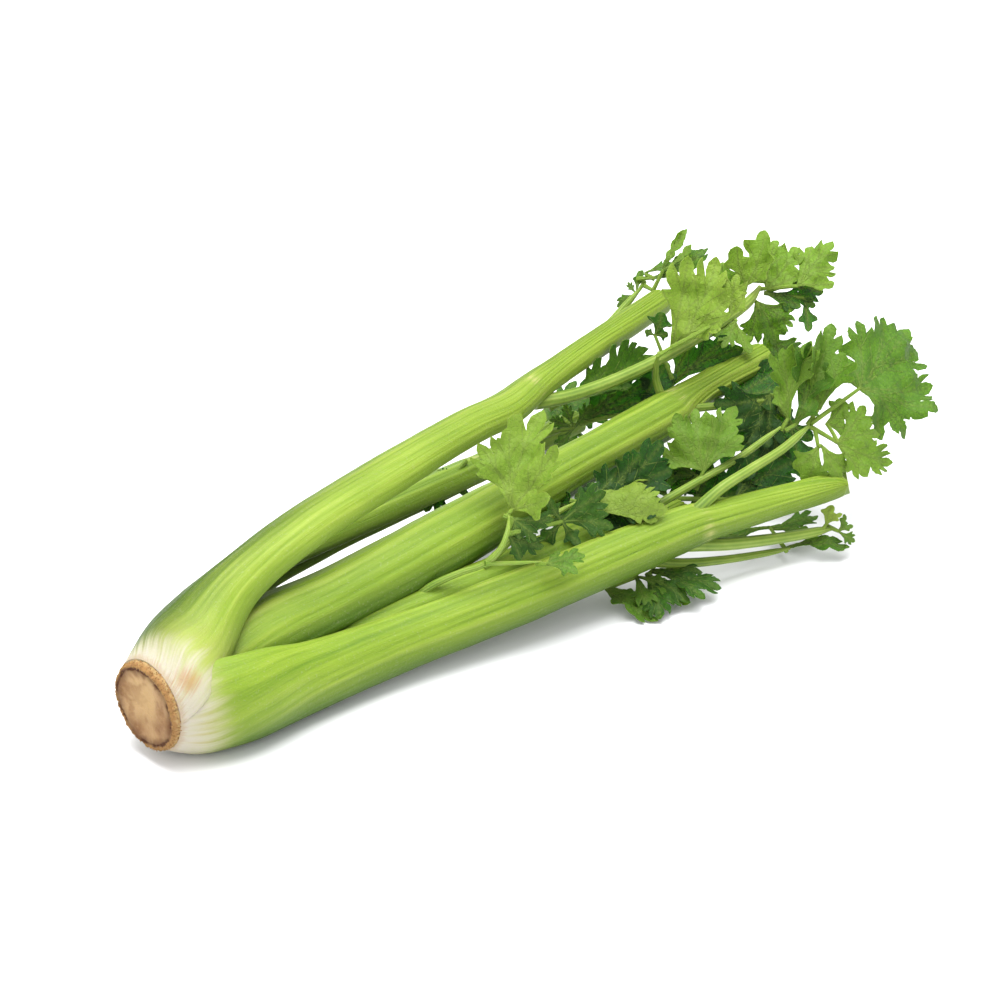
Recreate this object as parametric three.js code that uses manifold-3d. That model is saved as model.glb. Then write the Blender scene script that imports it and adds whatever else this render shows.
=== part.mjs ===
// A trimmed head of celery, lying on its side. Millimetres, +Z up.
// The bunch runs along +X from the cut butt to the leaves. The tables below are written with the middle
// of the cut face at x = 0, y = 0, and the surface that the bunch lies on at about z = 0.

import * as THREE from "three";
import { mergeVertices } from "three/addons/utils/BufferGeometryUtils.js";
import Module from "manifold-3d";

const wasm = await Module();
wasm.setup();

// ---- driving dimensions ----
const BUTT_AXIS = new THREE.Vector3(1, 0, 0);
const UPRIGHT_UNTIL = 8;    // up to here a stalk's sections stay square to the butt's axis
const TURN_LENGTH = 70;     // and over this length they turn square to the stalk
const GAP = 0.3;            // clearance kept between neighbouring pieces
const AXIS_HEIGHT = 25;     // height of the butt's axis above the surface
const BUTT_RADIUS = 18;     // cut face of the butt
const BUTT_BEVEL = 0.8;     // bevel around the cut face
const BUTT_RIM = 4;         // length of the rim behind the cut face
const BUTT_DISH = 1.2;      // how far the cut face is hollowed
const BUTT_SIDES = 24;      // faces around the butt
const CORE_LENGTH = 42;     // length of the crown inside the stalk bases
const LOFT_STEP = 16;       // spacing of the rings along a stalk
const ARC_STEPS = 7;        // faces across a stalk's ribbed back, and across its groove
const STEM_STEP = 14;       // spacing of the rings along a leaf stem
const STEM_SIDES = 8;       // faces around a leaf stem
const BLADE_THICKNESS = 0.7;
const FINEST = 0.02;        // edges shorter than this are closed up
const LEAFSTALK_WIDTH = 2.2;  // the bare part of a leaf
const BLADE_STEP = 9;        // longest side of a face on a leaf
const MOST_BOW = 0.35;      // no part of a leaf is further than this from its plane, as a part of its length

// The cut face's hollow, and the core's taper: parts of the radius, at parts of the dish or the core.
const DISH_PROFILE = [[0, 1], [0.6, 0.7], [0.9, 0]];
const CORE_PROFILE = [[0.72, 0.35], [0.45, 0.7], [0, 1]];

// One side of a lobe, along its reach and out to its half width, both from 0 to 1.
const LOBE_SIDE = [[0, 0.12], [0.38, 0.55], [0.58, 1], [0.84, 0.72]];

// Colours and roughness of what the bunch is made of.
const BUTT_LOOK = { color: 0xcda56e, roughness: 0.8 };
const STALK_LOOK = { color: 0x9cc448, roughness: 0.45 };
const STEM_LOOK = { color: 0xb4d264, roughness: 0.45 };
const BLADE_LOOK = { color: 0x5f9e3c, roughness: 0.6 };

// Each station of a stalk: place of the section's base line, its width, its depth from back to edges,
// the wall's thickness at the middle, the thickness at the edges, and the way its back faces.
const station = (x, y, z, wide, deep, wall, edge, outY, outZ) =>
  ({ at: new THREE.Vector3(x, y, z), size: [wide, deep, wall, edge], out: new THREE.Vector3(0, outY, outZ) });

const STALKS = {
  stalk_top: [
    station(3.5, 0, 25, 38.5, 20, 1.5, 1.5, 0, 1),
    station(14, 0, 26, 49, 26, 5, 3.5, 0.35, 0.95),
    station(32, 6, 36.5, 39, 22, 7, 5, 0.1, 1),
    station(55, 8.5, 49.5, 24, 17, 8, 5, 0.15, 1),
    station(90, 10, 60.5, 24.5, 14, 8, 5, 0.25, 1),
    station(135, 12.5, 66, 23.5, 13.5, 8, 5, 0.2, 1),
    station(190, 15, 71, 18.5, 12.5, 8, 5, 0.1, 1),
    station(214, 15, 72.5, 16.5, 12.5, 9, 6, 0, 1),
    station(237, 18.5, 76, 13.5, 12, 12, 9, 0, 1),
    station(332, 32.5, 81.5, 12, 12, 13, 10, 0, 1),
  ],
  stalk_front: [
    station(3.5, 0, 25, 37, 19.5, 1.2, 1.2, -0.75, -0.7),
    station(15, -1.5, 24, 46, 26, 5, 4, -0.8, -0.6),
    station(38, -12, 21, 42, 22, 7, 5, -0.9, -0.3),
    station(65, -16, 17.5, 31, 17, 8, 5, -1, 0),
    station(107, -22.5, 17, 25, 14.5, 8, 5, -1, 0.2),
    station(175, -40, 23, 22.5, 14, 8, 5, -1, 0.3),
    station(250, -59, 31.5, 18.5, 13, 9, 6, -1, 0.4),
    station(262, -63, 32, 15.5, 13.5, 12, 9, -1, 0.4),
    station(326, -82, 33, 11.5, 12, 14, 10, -1, 0.4),
  ],
  stalk_middle: [
    station(20, -3, 26, 20, 9, 4, 3, -0.7, 0.7),
    station(55, 0.5, 31, 29.5, 14.5, 6, 4, -0.6, 0.8),
    station(96, -4, 35.5, 26.5, 14.5, 7, 5, -0.6, 0.8),
    station(154, -8.5, 41, 27.5, 16, 8, 5, -0.5, 0.9),
    station(244, -8, 48, 20, 14, 8, 5, -0.5, 0.9),
    station(295, -8, 52, 20, 13.5, 9, 6, -0.5, 0.9),
    station(305, -8, 54.5, 15.5, 12.5, 12, 9, -0.5, 0.9),
    station(355, -10, 60.5, 13, 12, 13, 9, -0.5, 0.9),
  ],
  stalk_back: [
    station(4.5, 0, 25, 35.5, 19, 1.2, 1.2, 1, 0),
    station(18, 2.5, 25.5, 42, 23, 5, 4, 1, 0.1),
    station(50, 16, 27.5, 32, 17, 7, 4, 0.9, 0.4),
    station(90, 30.5, 32.5, 25, 14, 8, 5, 0.8, 0.6),
    station(134, 36, 31.5, 22, 13, 8, 5, 0.7, 0.7),
    station(213, 36.5, 32, 20.5, 13, 9, 6, 0.6, 0.8),
    station(224, 37.5, 33, 14, 12, 11, 8, 0.6, 0.8),
    station(284, 38.5, 34, 12, 11, 11, 8, 0.6, 0.8),
  ],
  stalk_under: [
    station(16, 6, 15, 24, 11, 4, 3, 0.7, -0.7),
    station(40, 10, 12, 24, 13, 6, 4, 0.5, -0.9),
    station(80, 17, 11.5, 23, 13, 7, 4, 0.3, -0.9),
    station(150, 25, 11.5, 21, 13, 8, 5, 0.2, -1),
    station(235, 36, 11, 19, 12, 9, 6, 0.2, -1),
    station(246, 38, 11, 15, 12, 11, 8, 0.2, -1),
    station(310, 46, 10, 12, 11, 11, 8, 0.2, -1),
  ],
  stalk_inner: [
    station(22, -1, 20, 16, 8, 4, 3, -0.8, -0.3),
    station(60, -6, 17, 20, 11, 6, 4, -0.8, 0.5),
    station(110, -15.5, 22, 20, 11.5, 7, 4, -0.7, 0.7),
    station(160, -26, 26, 19, 12, 7, 4, -0.7, 0.7),
    station(225, -36, 28, 18, 12, 8, 5, -0.7, 0.7),
    station(236, -41, 27, 11, 9.5, 9, 7, -0.7, 0.7),
    station(262, -44.5, 29, 10, 9, 9, 7, -0.7, 0.7),
  ],
};

// Each leaf stem: its thickness where it starts and ends, and the points it runs through.
const STEMS = {
  first_stem: [
    3.4, 1.9,
    [124, -17, 28], [133, -24, 36], [142, -31, 41], [149, -38, 45], [155, -41, 51], [161, -39, 56],
    [168, -33, 58],
  ],
  first_branch: [1.9, 1.5, [148, -39, 46], [160, -43, 43], [172, -48, 41]],
  top_stem_near: [
    6, 4.6,
    [233, 16, 71], [246, 11, 70.5], [265, 7, 71], [287, 3, 73.5], [310, 0, 77], [337, 0, 80.5], [357, 1, 84],
    [368, 3, 88],
  ],
  top_stem_far: [5, 3.2, [230, 24, 72], [262, 38, 66], [300, 44, 70], [332, 44, 86]],
  middle_stem_near: [4, 2.6, [298, -12, 55], [311, -19, 54], [324, -27, 54], [338, -34, 54]],
  middle_stem_far: [3.6, 2.4, [296, -2, 58], [294, 0, 68], [292, -3, 82]],
  front_stem_upper: [5.2, 3.4, [252, -61, 38], [266, -63, 45], [284, -65, 49], [304, -66, 52], [322, -66, 57]],
  front_stem_lower: [6.2, 4.2, [242, -61, 27], [264, -68, 21], [284, -73, 17], [304, -79, 14.5], [320, -84, 13.5]],
  inner_stem_upper: [
    4, 2.8,
    [232, -43, 34], [248, -47, 40], [268, -50, 44], [290, -54, 49], [312, -58, 57],
  ],
  inner_stem_lower: [5.2, 2.6, [228, -46, 20], [246, -56, 14], [268, -64, 10], [290, -70, 7], [303, -74, 6]],
  inner_stem_side: [3.2, 2.2, [158, -28, 36], [176, -31, 46], [196, -31, 47], [212, -30, 47]],
  back_stem: [5, 3, [218, 36, 38], [240, 30, 44], [264, 23, 46]],
  under_stem: [6, 3.5, [240, 46, 12], [264, 58, 13], [288, 66, 14]],
};

// Each leaf: where it leaves its stem, its tip, the way its upper face looks, its width, how far its
// middle bows out and how far its sides are raised, as parts of its length, then its leaflets. A leaflet is
// the place of its hub, how high it stands above the leaf's plane, and its lobes: the way from the hub to
// each tip, and the lobe's half width as a part of its reach.
const VIEWED = [-0.62, -0.62, 0.47];
const UPWARD = [-0.2, -0.2, 0.95];
const REARWARD = [0.2, 0.8, 0.5];
const LEFTWARD = [-0.8, -0.4, 0.45];
const RIGHTWARD = [-0.42, -0.78, 0.46];
const BLADES = {
  leaf_first_tall: [
    [170, -30, 58], [199, -21, 93], [-0.7, -0.3, 0.65], 35, 0.04, 0.1,
    [
      [2, -1.5, 0, [[44.5, 1.5, 0.24], [32, 10, 0.27], [21, 19, 0.3], [29, -13, 0.3], [7.5, -17, 0.42]]],
    ],
  ],
  leaf_first_low: [
    [173, -48, 41], [187, -58, 42], UPWARD, 20, 0.08, -0.1,
    [
      [1, -3, 0, [[16.5, 2.5, 0.3], [11.5, -7.5, 0.3], [6.5, 6.5, 0.3]]],
    ],
  ],
  leaf_first_dark: [
    [168, -33, 56], [174, -42, 47], RIGHTWARD, 74, 0.05, 0.1,
    [
      [0.5, 1.5, 0, [[13.5, -1, 0.3], [14, 11, 0.26], [8, -4.5, 0.3]]],
      [3, -4.5, -2, [[16.5, 6.5, 0.3], [12, -4.5, 0.35]]],
      [20.5, 16.5, -13, [
        [7.5, 22.5, 0.34], [19, 12.5, 0.3], [-11.5, 3.5, 0.36], [-0.5, -13.5, 0.36], [13, -2.5, 0.34],
      ]],
    ],
  ],
  leaf_top_pale: [
    [292, -4, 83], [317, -13, 123], [-0.75, -0.55, 0.36], 37, 0.05, 0.1,
    [
      [3.5, -3.5, -7, [[44, 4, 0.26], [38.5, 14.5, 0.24], [33, -10.5, 0.26], [23.5, -13.5, 0.2]]],
      [29, -18.5, -9, [[17, 7, 0.4], [10.5, -0.5, 0.4]]],
    ],
  ],
  leaf_top_point: [
    [358, 4, 88], [372, 5, 114], LEFTWARD, 17, 0.05, 0.2,
    [
      [3.5, 0, 0, [[26.5, 0, 0.34], [15.5, 8.5, 0.34], [13, -7.5, 0.34]]],
    ],
  ],
  leaf_top_end: [
    [370, 3, 89], [391, 1.1, 102], [-0.5, -0.3, 0.8], 47, 0.06, -0.1,
    [
      [-1, -3, 0, [[25.5, 2.5, 0.3], [22, 11.5, 0.3], [8, 12, 0.36], [15.5, -7.5, 0.3]]],
      [8, -14.5, 1, [[29, 3, 0.25], [20.5, -4.5, 0.3], [22.5, 10.5, 0.3], [13.5, -10, 0.25]]],
    ],
  ],
  leaf_top_fold: [
    [368, 6, 90], [396, -14, 82], RIGHTWARD, 40, 0.05, 0.2,
    [
      [16.5, 1, -3, [[19.5, -0.5, 0.3], [13, 4, 0.35]]],
      [4.5, -5, 1, [[25, 0.5, 0.16], [17, -4.5, 0.24]]],
      [23, -5, 2, [[1.5, -16, 0.28], [6, -3, 0.5]]],
    ],
  ],
  leaf_top_under: [
    [362, 0, 84], [374, -12, 71], [-0.5, -0.8, 0.25], 45, 0.08, -0.1,
    [
      [0.5, -0.5, 0, [[20.5, 0.5, 0.3], [20, -11, 0.34], [8.5, -18.5, 0.34], [17.5, 8, 0.14]]],
      [13.5, -10.5, -2, [[22, 3.5, 0.3], [23, -8.5, 0.3], [12.5, -13.5, 0.3]]],
    ],
  ],
  leaf_top_side: [
    [342, -2, 80], [328, 2.7, 75], [-0.45, -0.5, 0.74], 34, 0.06, 0.1,
    [
      [-2, 0.5, 0, [[18, -0.5, 0.22], [13.5, 9, 0.3], [2.5, 17, 0.3]]],
    ],
  ],
  leaf_top_blade: [
    [334, 42, 90], [355, 37, 111], VIEWED, 12, 0.05, 0.1,
    [
      [-2.5, -5, 0, [[32, 5, 0.05]]],
      [7.5, -3, 2, [[17, -3, 0.1]]],
    ],
  ],
  leaf_top_crest: [
    [334, 45, 91], [359, 27, 100], [-0.4, -0.1, 0.9], 12, 0.06, -0.1,
    [
      [4.5, -4, 0, [[28, 4, 0.17], [23, 0.5, 0.2]]],
      [1, -0.5, 1.5, [[14.5, -2.5, 0.25]]],
    ],
  ],
  leaf_top_hidden: [
    [332, 45, 87], [321, 49, 79], [-0.6, -0.4, 0.6], 12, 0.08, 0.1,
    [
      [4, 2.5, 0, [[10.5, -2.5, 0.3], [-1, -7.5, 0.26], [-10, -7.5, 0.22]]],
    ],
  ],
  leaf_top_shade: [
    [248, 18, 63], [302, 7, 76], [-0.3, -0.5, 0.8], 12, 0.02, 0.05,
    [
      [10, 0, -3, [[48, 1.5, 0.2], [28, -6, 0.2], [22.5, 4, 0.26]]],
    ],
  ],
  leaf_middle_behind: [
    [306, 4, 58], [337, -15, 73], VIEWED, 59, 0.06, 0.1,
    [
      [3.5, 0, -7, [[36.5, 0.5, 0.24], [28.5, 7, 0.26], [15, 12.5, 0.2]]],
      [5.5, 23, -4, [[7, 8, 0.5], [-3, 4, 0.4], [5.5, -2.5, 0.4]]],
    ],
  ],
  leaf_middle_drape: [
    [267, -49, 43], [281, -35, 69], [-0.5, -0.6, 0.6], 41, 0.1, -0.12,
    [
      [5, -3, 0, [
        [28, 3, 0.26], [10.5, 18.5, 0.26], [31, -16.5, 0.22], [15.5, -18, 0.24], [24.5, 12.5, 0.26],
        [21, -5.5, 0.2],
      ]],
    ],
  ],
  leaf_middle_ruffle: [
    [213, -33, 46], [239, -53, 48], [-0.3, -0.3, 0.9], 16, 0.1, -0.1,
    [
      [7, -4.5, 0, [[25.5, 4, 0.28], [21, 22.5, 0.34], [8, 19.5, 0.36], [28, -2.5, 0.15]]],
    ],
  ],
  leaf_middle_low: [
    [214, -28, 47], [240, -48, 55], VIEWED, 43, 0.05, 0.1,
    [
      [4.5, -4, -1, [[28.5, 4, 0.3], [17.5, 11.5, 0.34], [29.5, -6, 0.28], [4, 9, 0.5], [-4.5, 6, 0.5]]],
      [15.5, -1, -4, [[26.5, 15, 0.25], [16, 12, 0.3], [0, 10.5, 0.3], [27.5, 2, 0.3]]],
      [2, -6.5, -5, [
        [27, -14.5, 0.28], [11.5, -16, 0.34], [-3, -11.5, 0.42], [-17, 0.5, 0.42], [-12, 8.5, 0.42],
      ]],
    ],
  ],
  leaf_middle_shade: [
    [339, -36, 52], [317, -33, 37], RIGHTWARD, 46, 0.05, 0.1,
    [
      [1, -6.5, 0, [[26, 6.5, 0.3], [23, -17.5, 0.3], [24, -5.5, 0.3], [20, 14.5, 0.34], [-2, 11.5, 0.4]]],
      [1.5, -2.5, -5, [[42.5, -4.5, 0.24], [29, -5.5, 0.34], [10.5, 15.5, 0.36], [-1.5, 16.5, 0.3]]],
    ],
  ],
  leaf_middle_hang: [
    [341, -36, 54], [321, -43, 19], [-0.55, -0.7, 0.45], 34, 0.06, 0.1,
    [
      [4.5, -4, -1, [[36.5, 4, 0.17], [26.5, 11.5, 0.2], [31.5, -5, 0.2]]],
      [9, 5.5, -6, [[40, -11, 0.24], [24.5, 10.5, 0.3], [35, -0.5, 0.3], [6.5, 12.5, 0.4]]],
    ],
  ],
  leaf_inner_dark: [
    [272, -46, 41], [261, -28, 38], LEFTWARD, 21, 0.05, 0.1,
    [
      [1, -2, -1, [[20.5, 2, 0.3], [14, -9, 0.3], [8, 8.5, 0.3]]],
    ],
  ],
  leaf_inner_shade: [
    [264, -47, 28], [293, -62, 46], VIEWED, 41, 0.06, 0.1,
    [
      [2.5, 1, -5, [[34.5, -1, 0.22], [19, 11.5, 0.26], [24.5, -6.5, 0.2]]],
      [-3, 10, -7, [[18, 2.5, 0.5], [-2, 11.5, 0.45]]],
      [21, -6.5, -5, [[32, -1, 0.26], [24, -7.5, 0.22], [18.5, 9, 0.35]]],
    ],
  ],
  leaf_inner_high: [
    [314, -58, 58], [332, -57, 92], LEFTWARD, 18, 0.05, 0.1,
    [
      [3, -1, 0, [[35.5, 1, 0.24], [28.5, 10.5, 0.26], [11.5, 9.5, 0.3]]],
    ],
  ],
  leaf_inner_tall: [
    [315, -60, 58], [337, -60, 87], VIEWED, 15, 0.05, 0.15,
    [
      [1.5, -3, -2, [[35, 3, 0.26], [34.5, 11, 0.24], [13.5, -3, 0.4]]],
    ],
  ],
  leaf_front_tall: [
    [323, -65, 60], [346, -56, 96], RIGHTWARD, 16, 0.05, 0.15,
    [
      [4.5, -2.5, 0, [[39, 2, 0.2], [31.5, 9.5, 0.16], [27, -4, 0.22]]],
    ],
  ],
  leaf_front_big: [
    [325, -68, 59], [396, -80, 57], [-0.1, -0.68, 0.62], 73, 0.06, -0.1,
    [
      [27, 8, 0, [
        [45, -7.5, 0.2], [53, 11, 0.2], [49, 21.5, 0.19], [35.5, 29.5, 0.21], [16.5, 30.5, 0.24],
        [31.5, -21, 0.2], [17, -27, 0.2], [4.5, -24.5, 0.22], [1.5, 18.5, 0.44], [-7.5, 9.5, 0.36],
      ]],
    ],
  ],
  leaf_front_drop: [
    [324, -69, 56], [349, -94, 40], [-0.3, -0.7, 0.62], 39, 0.08, -0.1,
    [
      [10, -3.5, 0, [[29, 3.5, 0.3], [18.5, 12.5, 0.32], [9.5, 24, 0.32], [18, -9, 0.3]]],
      [4, 4.5, -3, [[11, 1, 0.45], [5, 14.5, 0.45]]],
    ],
  ],
  leaf_front_round: [
    [321, -70, 54], [312, -75, 35], VIEWED, 33, 0.15, -0.2,
    [
      [4.5, 2, 0, [[18, -2, 0.5], [11, -9.5, 0.5]]],
      [4, 3.5, 1, [[9, 14, 0.4], [13.5, 10, 0.4]]],
    ],
  ],
  leaf_front_tip: [
    [315, -82, 15], [321, -83, 25], LEFTWARD, 12, 0.1, 0.2,
    [
      [2, -1, 0, [[9, 1, 0.42], [7.5, -4.5, 0.26]]],
    ],
  ],
  leaf_front_tuft: [
    [319, -85, 14], [324, -93, 9], [-0.4, -0.6, 0.6], 16, 0.1, 0.1,
    [
      [2.5, 0, 0, [[9, 0.5, 0.4], [4.5, 5.5, 0.3], [-1, 8.5, 0.25]]],
    ],
  ],
  leaf_floor_broad: [
    [244, -51, 12], [253, -77, 8], UPWARD, 58, 0.06, -0.03,
    [
      [-2.5, -5.5, 0, [[30.5, 6, 0.2], [28.5, -7.5, 0.17], [20, 9.5, 0.2]]],
      [-3.5, -8.5, 1, [[16.5, -21.5, 0.3], [23.5, -6.5, 0.25]]],
    ],
  ],
  leaf_floor_tongue: [
    [236, -48, 12], [237, -73, 7], UPWARD, 43, 0.06, -0.05,
    [
      [0.5, -6, 0, [[25.5, 6.5, 0.2], [17, -10, 0.3], [15, 6, 0.25]]],
      [-5, -19, 0, [[28.5, 1.5, 0.2], [16.5, 3.5, 0.28], [15, -3.5, 0.28]]],
    ],
  ],
  leaf_floor_far: [
    [303, -76, 6], [322, -93, 6], UPWARD, 41, 0.06, 0,
    [
      [-3.5, 2, 0, [[28.5, -2, 0.16], [20, 2, 0.18]]],
      [-8, 17, 0, [[22, 4.5, 0.28], [-25.5, 1.5, 0.2], [16, -6.5, 0.2]]],
    ],
  ],
  leaf_back_dark: [
    [252, 27, 47], [274, 20, 55], RIGHTWARD, 18, 0.06, 0.1,
    [
      [11, -5.5, 0, [[13.5, 5, 0.3], [-8, 9, 0.28], [-11.5, -4.5, 0.28], [2, 12, 0.28]]],
    ],
  ],
  leaf_back_wide: [
    [267, 24, 47], [298, 6, 63], VIEWED, 19, 0.06, 0.1,
    [
      [1.5, -2, -1, [[38, 2.5, 0.2], [21.5, 4.5, 0.3], [32, -6, 0.2]]],
      [28.5, -9.5, -4, [[22, 13.5, 0.34], [25.5, -0.5, 0.3]]],
    ],
  ],
  leaf_rear_high: [
    [352, 16, 84], [359, 19, 98], VIEWED, 23, 0.05, 0.1,
    [
      [-1, -4, 0, [[17, 4, 0.4], [14, -6.5, 0.4], [9.5, 10, 0.3], [0.5, -8, 0.4]]],
    ],
  ],
  leaf_rear_drape: [
    [300, 18, 56], [350, -26, 64], VIEWED, 23, 0.05, 0.1,
    [
      [38, -13.5, -6, [[30.5, 13, 0.26], [11.5, 12.5, 0.34], [32, 1.5, 0.26], [-6.5, 9.5, 0.3]]],
    ],
  ],
  leaf_back_small: [
    [206, 35, 44], [185, 45, 36], [-0.5, -0.6, 0.6], 27, 0.1, -0.1,
    [
      [6.5, 4.5, 0, [[18, -4.5, 0.25], [17, 8, 0.3], [4, -6, 0.3], [-3, 10, 0.3]]],
    ],
  ],
  leaf_under_low: [
    [290, 67, 14], [326, 80, 3], [0, 0.2, 0.95], 34, 0.08, -0.1,
    [
      [4, 0, 0, [
        [35.8, 0, 0.26], [25.1, 13.6, 0.26], [25.1, -13.6, 0.26], [7.2, 15.3, 0.3], [7.2, -15.3, 0.3],
      ]],
    ],
  ],
  leaf_under_side: [
    [282, 67, 12], [290, 94, 3], [0, 0.3, 0.95], 28, 0.08, -0.1,
    [
      [3, 0, 0, [
        [26.6, 0, 0.26], [18.6, 11.2, 0.26], [18.6, -11.2, 0.26], [5.3, 12.6, 0.3], [5.3, -12.6, 0.3],
      ]],
    ],
  ],
  leaf_under_end: [
    [290, 64, 16], [330, 60, 30], [-0.3, -0.3, 0.9], 30, 0.08, -0.1,
    [
      [4.3, 0, 0, [
        [38.3, 0, 0.26], [26.8, 12, 0.26], [26.8, -12, 0.26], [7.7, 13.5, 0.3], [7.7, -13.5, 0.3],
      ]],
    ],
  ],
};

/** The butt: a short crown whose cut end faces -X and whose point reaches in between the stalk bases. */
function butt(grow = 0) {
  const radius = BUTT_RADIUS + grow;
  const profile = [
    ...DISH_PROFILE.map(([part, depth]) => [part * radius, depth * BUTT_DISH - grow]),
    [radius, BUTT_BEVEL - grow],
    [radius, BUTT_RIM],
    ...CORE_PROFILE.map(([part, along]) => [part * radius, along * (CORE_LENGTH + grow)]),
  ];
  const points = profile.map(([out, along]) => new THREE.Vector2(out, along));
  const shape = new THREE.LatheGeometry(points, BUTT_SIDES);
  shape.rotateZ(-Math.PI / 2);
  return shape.translate(0, 0, AXIS_HEIGHT);
}

/** Outline of a section: the back's arc, one round edge, the groove's arc, the other edge. */
function outline([wide, deep, wall, edge]) {
  const half = (wide - edge) / 2;
  const rise = deep - (wall + edge) / 2;
  const arc = (t, side) => {
    const a = t * Math.PI / 2;
    const normal = new THREE.Vector2(rise * Math.sin(a), half * Math.cos(a)).normalize();
    const thick = wall + (edge - wall) * t * t;
    const middle = new THREE.Vector2(half * Math.sin(a), rise * Math.cos(a));
    return middle.addScaledVector(normal, side * thick / 2);
  };
  const points = [];
  for (let i = 0; i <= ARC_STEPS; i++) points.push(arc(2 * i / ARC_STEPS - 1, 1));
  points.push(new THREE.Vector2(half, -edge / 2));
  for (let i = 1; i < ARC_STEPS; i++) points.push(arc(1 - 2 * i / ARC_STEPS, -1));
  points.push(new THREE.Vector2(-half, -edge / 2));
  return points;
}

/** Closed mesh through rings of equal length, its ends closed by a ladder of faces across the ring. */
function loft(rings) {
  const n = rings[0].length;
  const positions = rings.flat().flatMap((p) => [p.x, p.y, p.z]);
  const index = [];
  for (let r = 0; r < rings.length - 1; r++) {
    for (let i = 0; i < n; i++) {
      const a = r * n + i;
      const b = r * n + (i + 1) % n;
      index.push(a, b, a + n, b, b + n, a + n);
    }
  }
  const last = (rings.length - 1) * n;
  for (let i = 0; i < n / 2 - 1; i++) {
    const [a, b, c, d] = [i, i + 1, n - 2 - i, n - 1 - i];
    index.push(a, d, b, b, d, c);
    index.push(last + a, last + b, last + d, last + b, last + c, last + d);
  }
  const shape = new THREE.BufferGeometry();
  shape.setAttribute("position", new THREE.Float32BufferAttribute(positions, 3));
  shape.setIndex(index);
  return shape;
}

/** -1 at the first ring, 1 at the last one, 0 between them. */
const atEnd = (k, steps) => (k === steps) - (k === 0);

/** A stalk from its stations: sizes, places and facing run smoothly from one to the next. */
function stalk(stations, grow = 0) {
  const path = new THREE.CatmullRomCurve3(stations.map((s) => s.at), false, "centripetal");
  const steps = Math.max(stations.length, Math.round(path.getLength() / LOFT_STEP));
  const rings = [];
  for (let k = 0; k <= steps; k++) {
    const t = k / steps * (stations.length - 1);
    const i = Math.min(Math.floor(t), stations.length - 2);
    const next = stations[i + 1];
    const size = stations[i].size.map((v, j) => THREE.MathUtils.lerp(v, next.size[j], t - i) + 2 * grow);
    const at = path.getPoint(k / steps);
    const turned = THREE.MathUtils.clamp((at.x - UPRIGHT_UNTIL) / TURN_LENGTH, 0, 1);
    const along = path.getTangent(k / steps).lerp(BUTT_AXIS, 1 - turned).normalize();
    const centre = at.addScaledVector(along, atEnd(k, steps) * grow);
    const out = stations[i].out.clone().lerp(next.out, t - i);
    out.addScaledVector(along, -out.dot(along)).normalize();
    const side = new THREE.Vector3().crossVectors(along, out);
    rings.push(outline(size).map((p) => centre.clone().addScaledVector(side, p.x).addScaledVector(out, p.y)));
  }
  return loft(rings);
}

/** A leaf stem: a round rod that thins towards its blade. */
function stem([thick, thin, ...points], grow = 0) {
  const path = new THREE.CatmullRomCurve3(points.map((p) => new THREE.Vector3(...p)), false, "centripetal");
  const steps = Math.max(4, Math.round(path.getLength() / STEM_STEP));
  const frames = path.computeFrenetFrames(steps);
  const rings = [];
  for (let k = 0; k <= steps; k++) {
    const radius = THREE.MathUtils.lerp(thick, thin, k / steps) / 2 + grow;
    const centre = path.getPointAt(k / steps).addScaledVector(frames.tangents[k], atEnd(k, steps) * grow);
    const ring = [];
    for (let i = 0; i < STEM_SIDES; i++) {
      const a = 2 * Math.PI * i / STEM_SIDES;
      ring.push(centre.clone()
        .addScaledVector(frames.normals[k], radius * Math.cos(a))
        .addScaledVector(frames.binormals[k], radius * Math.sin(a)));
    }
    rings.push(ring);
  }
  return loft(rings);
}

/** A shape drawn on a leaf's plane, from its corners. */
const drawn = (corners) => new wasm.CrossSection([corners], "NonZero");

/** A lobe: a wedge that widens from the hub to its shoulder and narrows to its tip. */
function lobe([x, y, half]) {
  const at = ([along, out]) => [x * along - y * half * out, y * along + x * half * out];
  const flip = ([along, out]) => [along, -out];
  return drawn([...LOBE_SIDE, [1, 0], ...LOBE_SIDE.map(flip).reverse()].map(at).reverse());
}

/** A strip of bare leafstalk between two places. */
function strip([x, y], [toX, toY]) {
  const turn = Math.atan2(toY - y, toX - x);
  const [sideX, sideY] = [-Math.sin(turn) * LEAFSTALK_WIDTH / 2, Math.cos(turn) * LEAFSTALK_WIDTH / 2];
  return drawn([
    [x - sideX, y - sideY], [toX - sideX, toY - sideY], [toX + sideX, toY + sideY], [x + sideX, y + sideY],
  ]);
}

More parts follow.
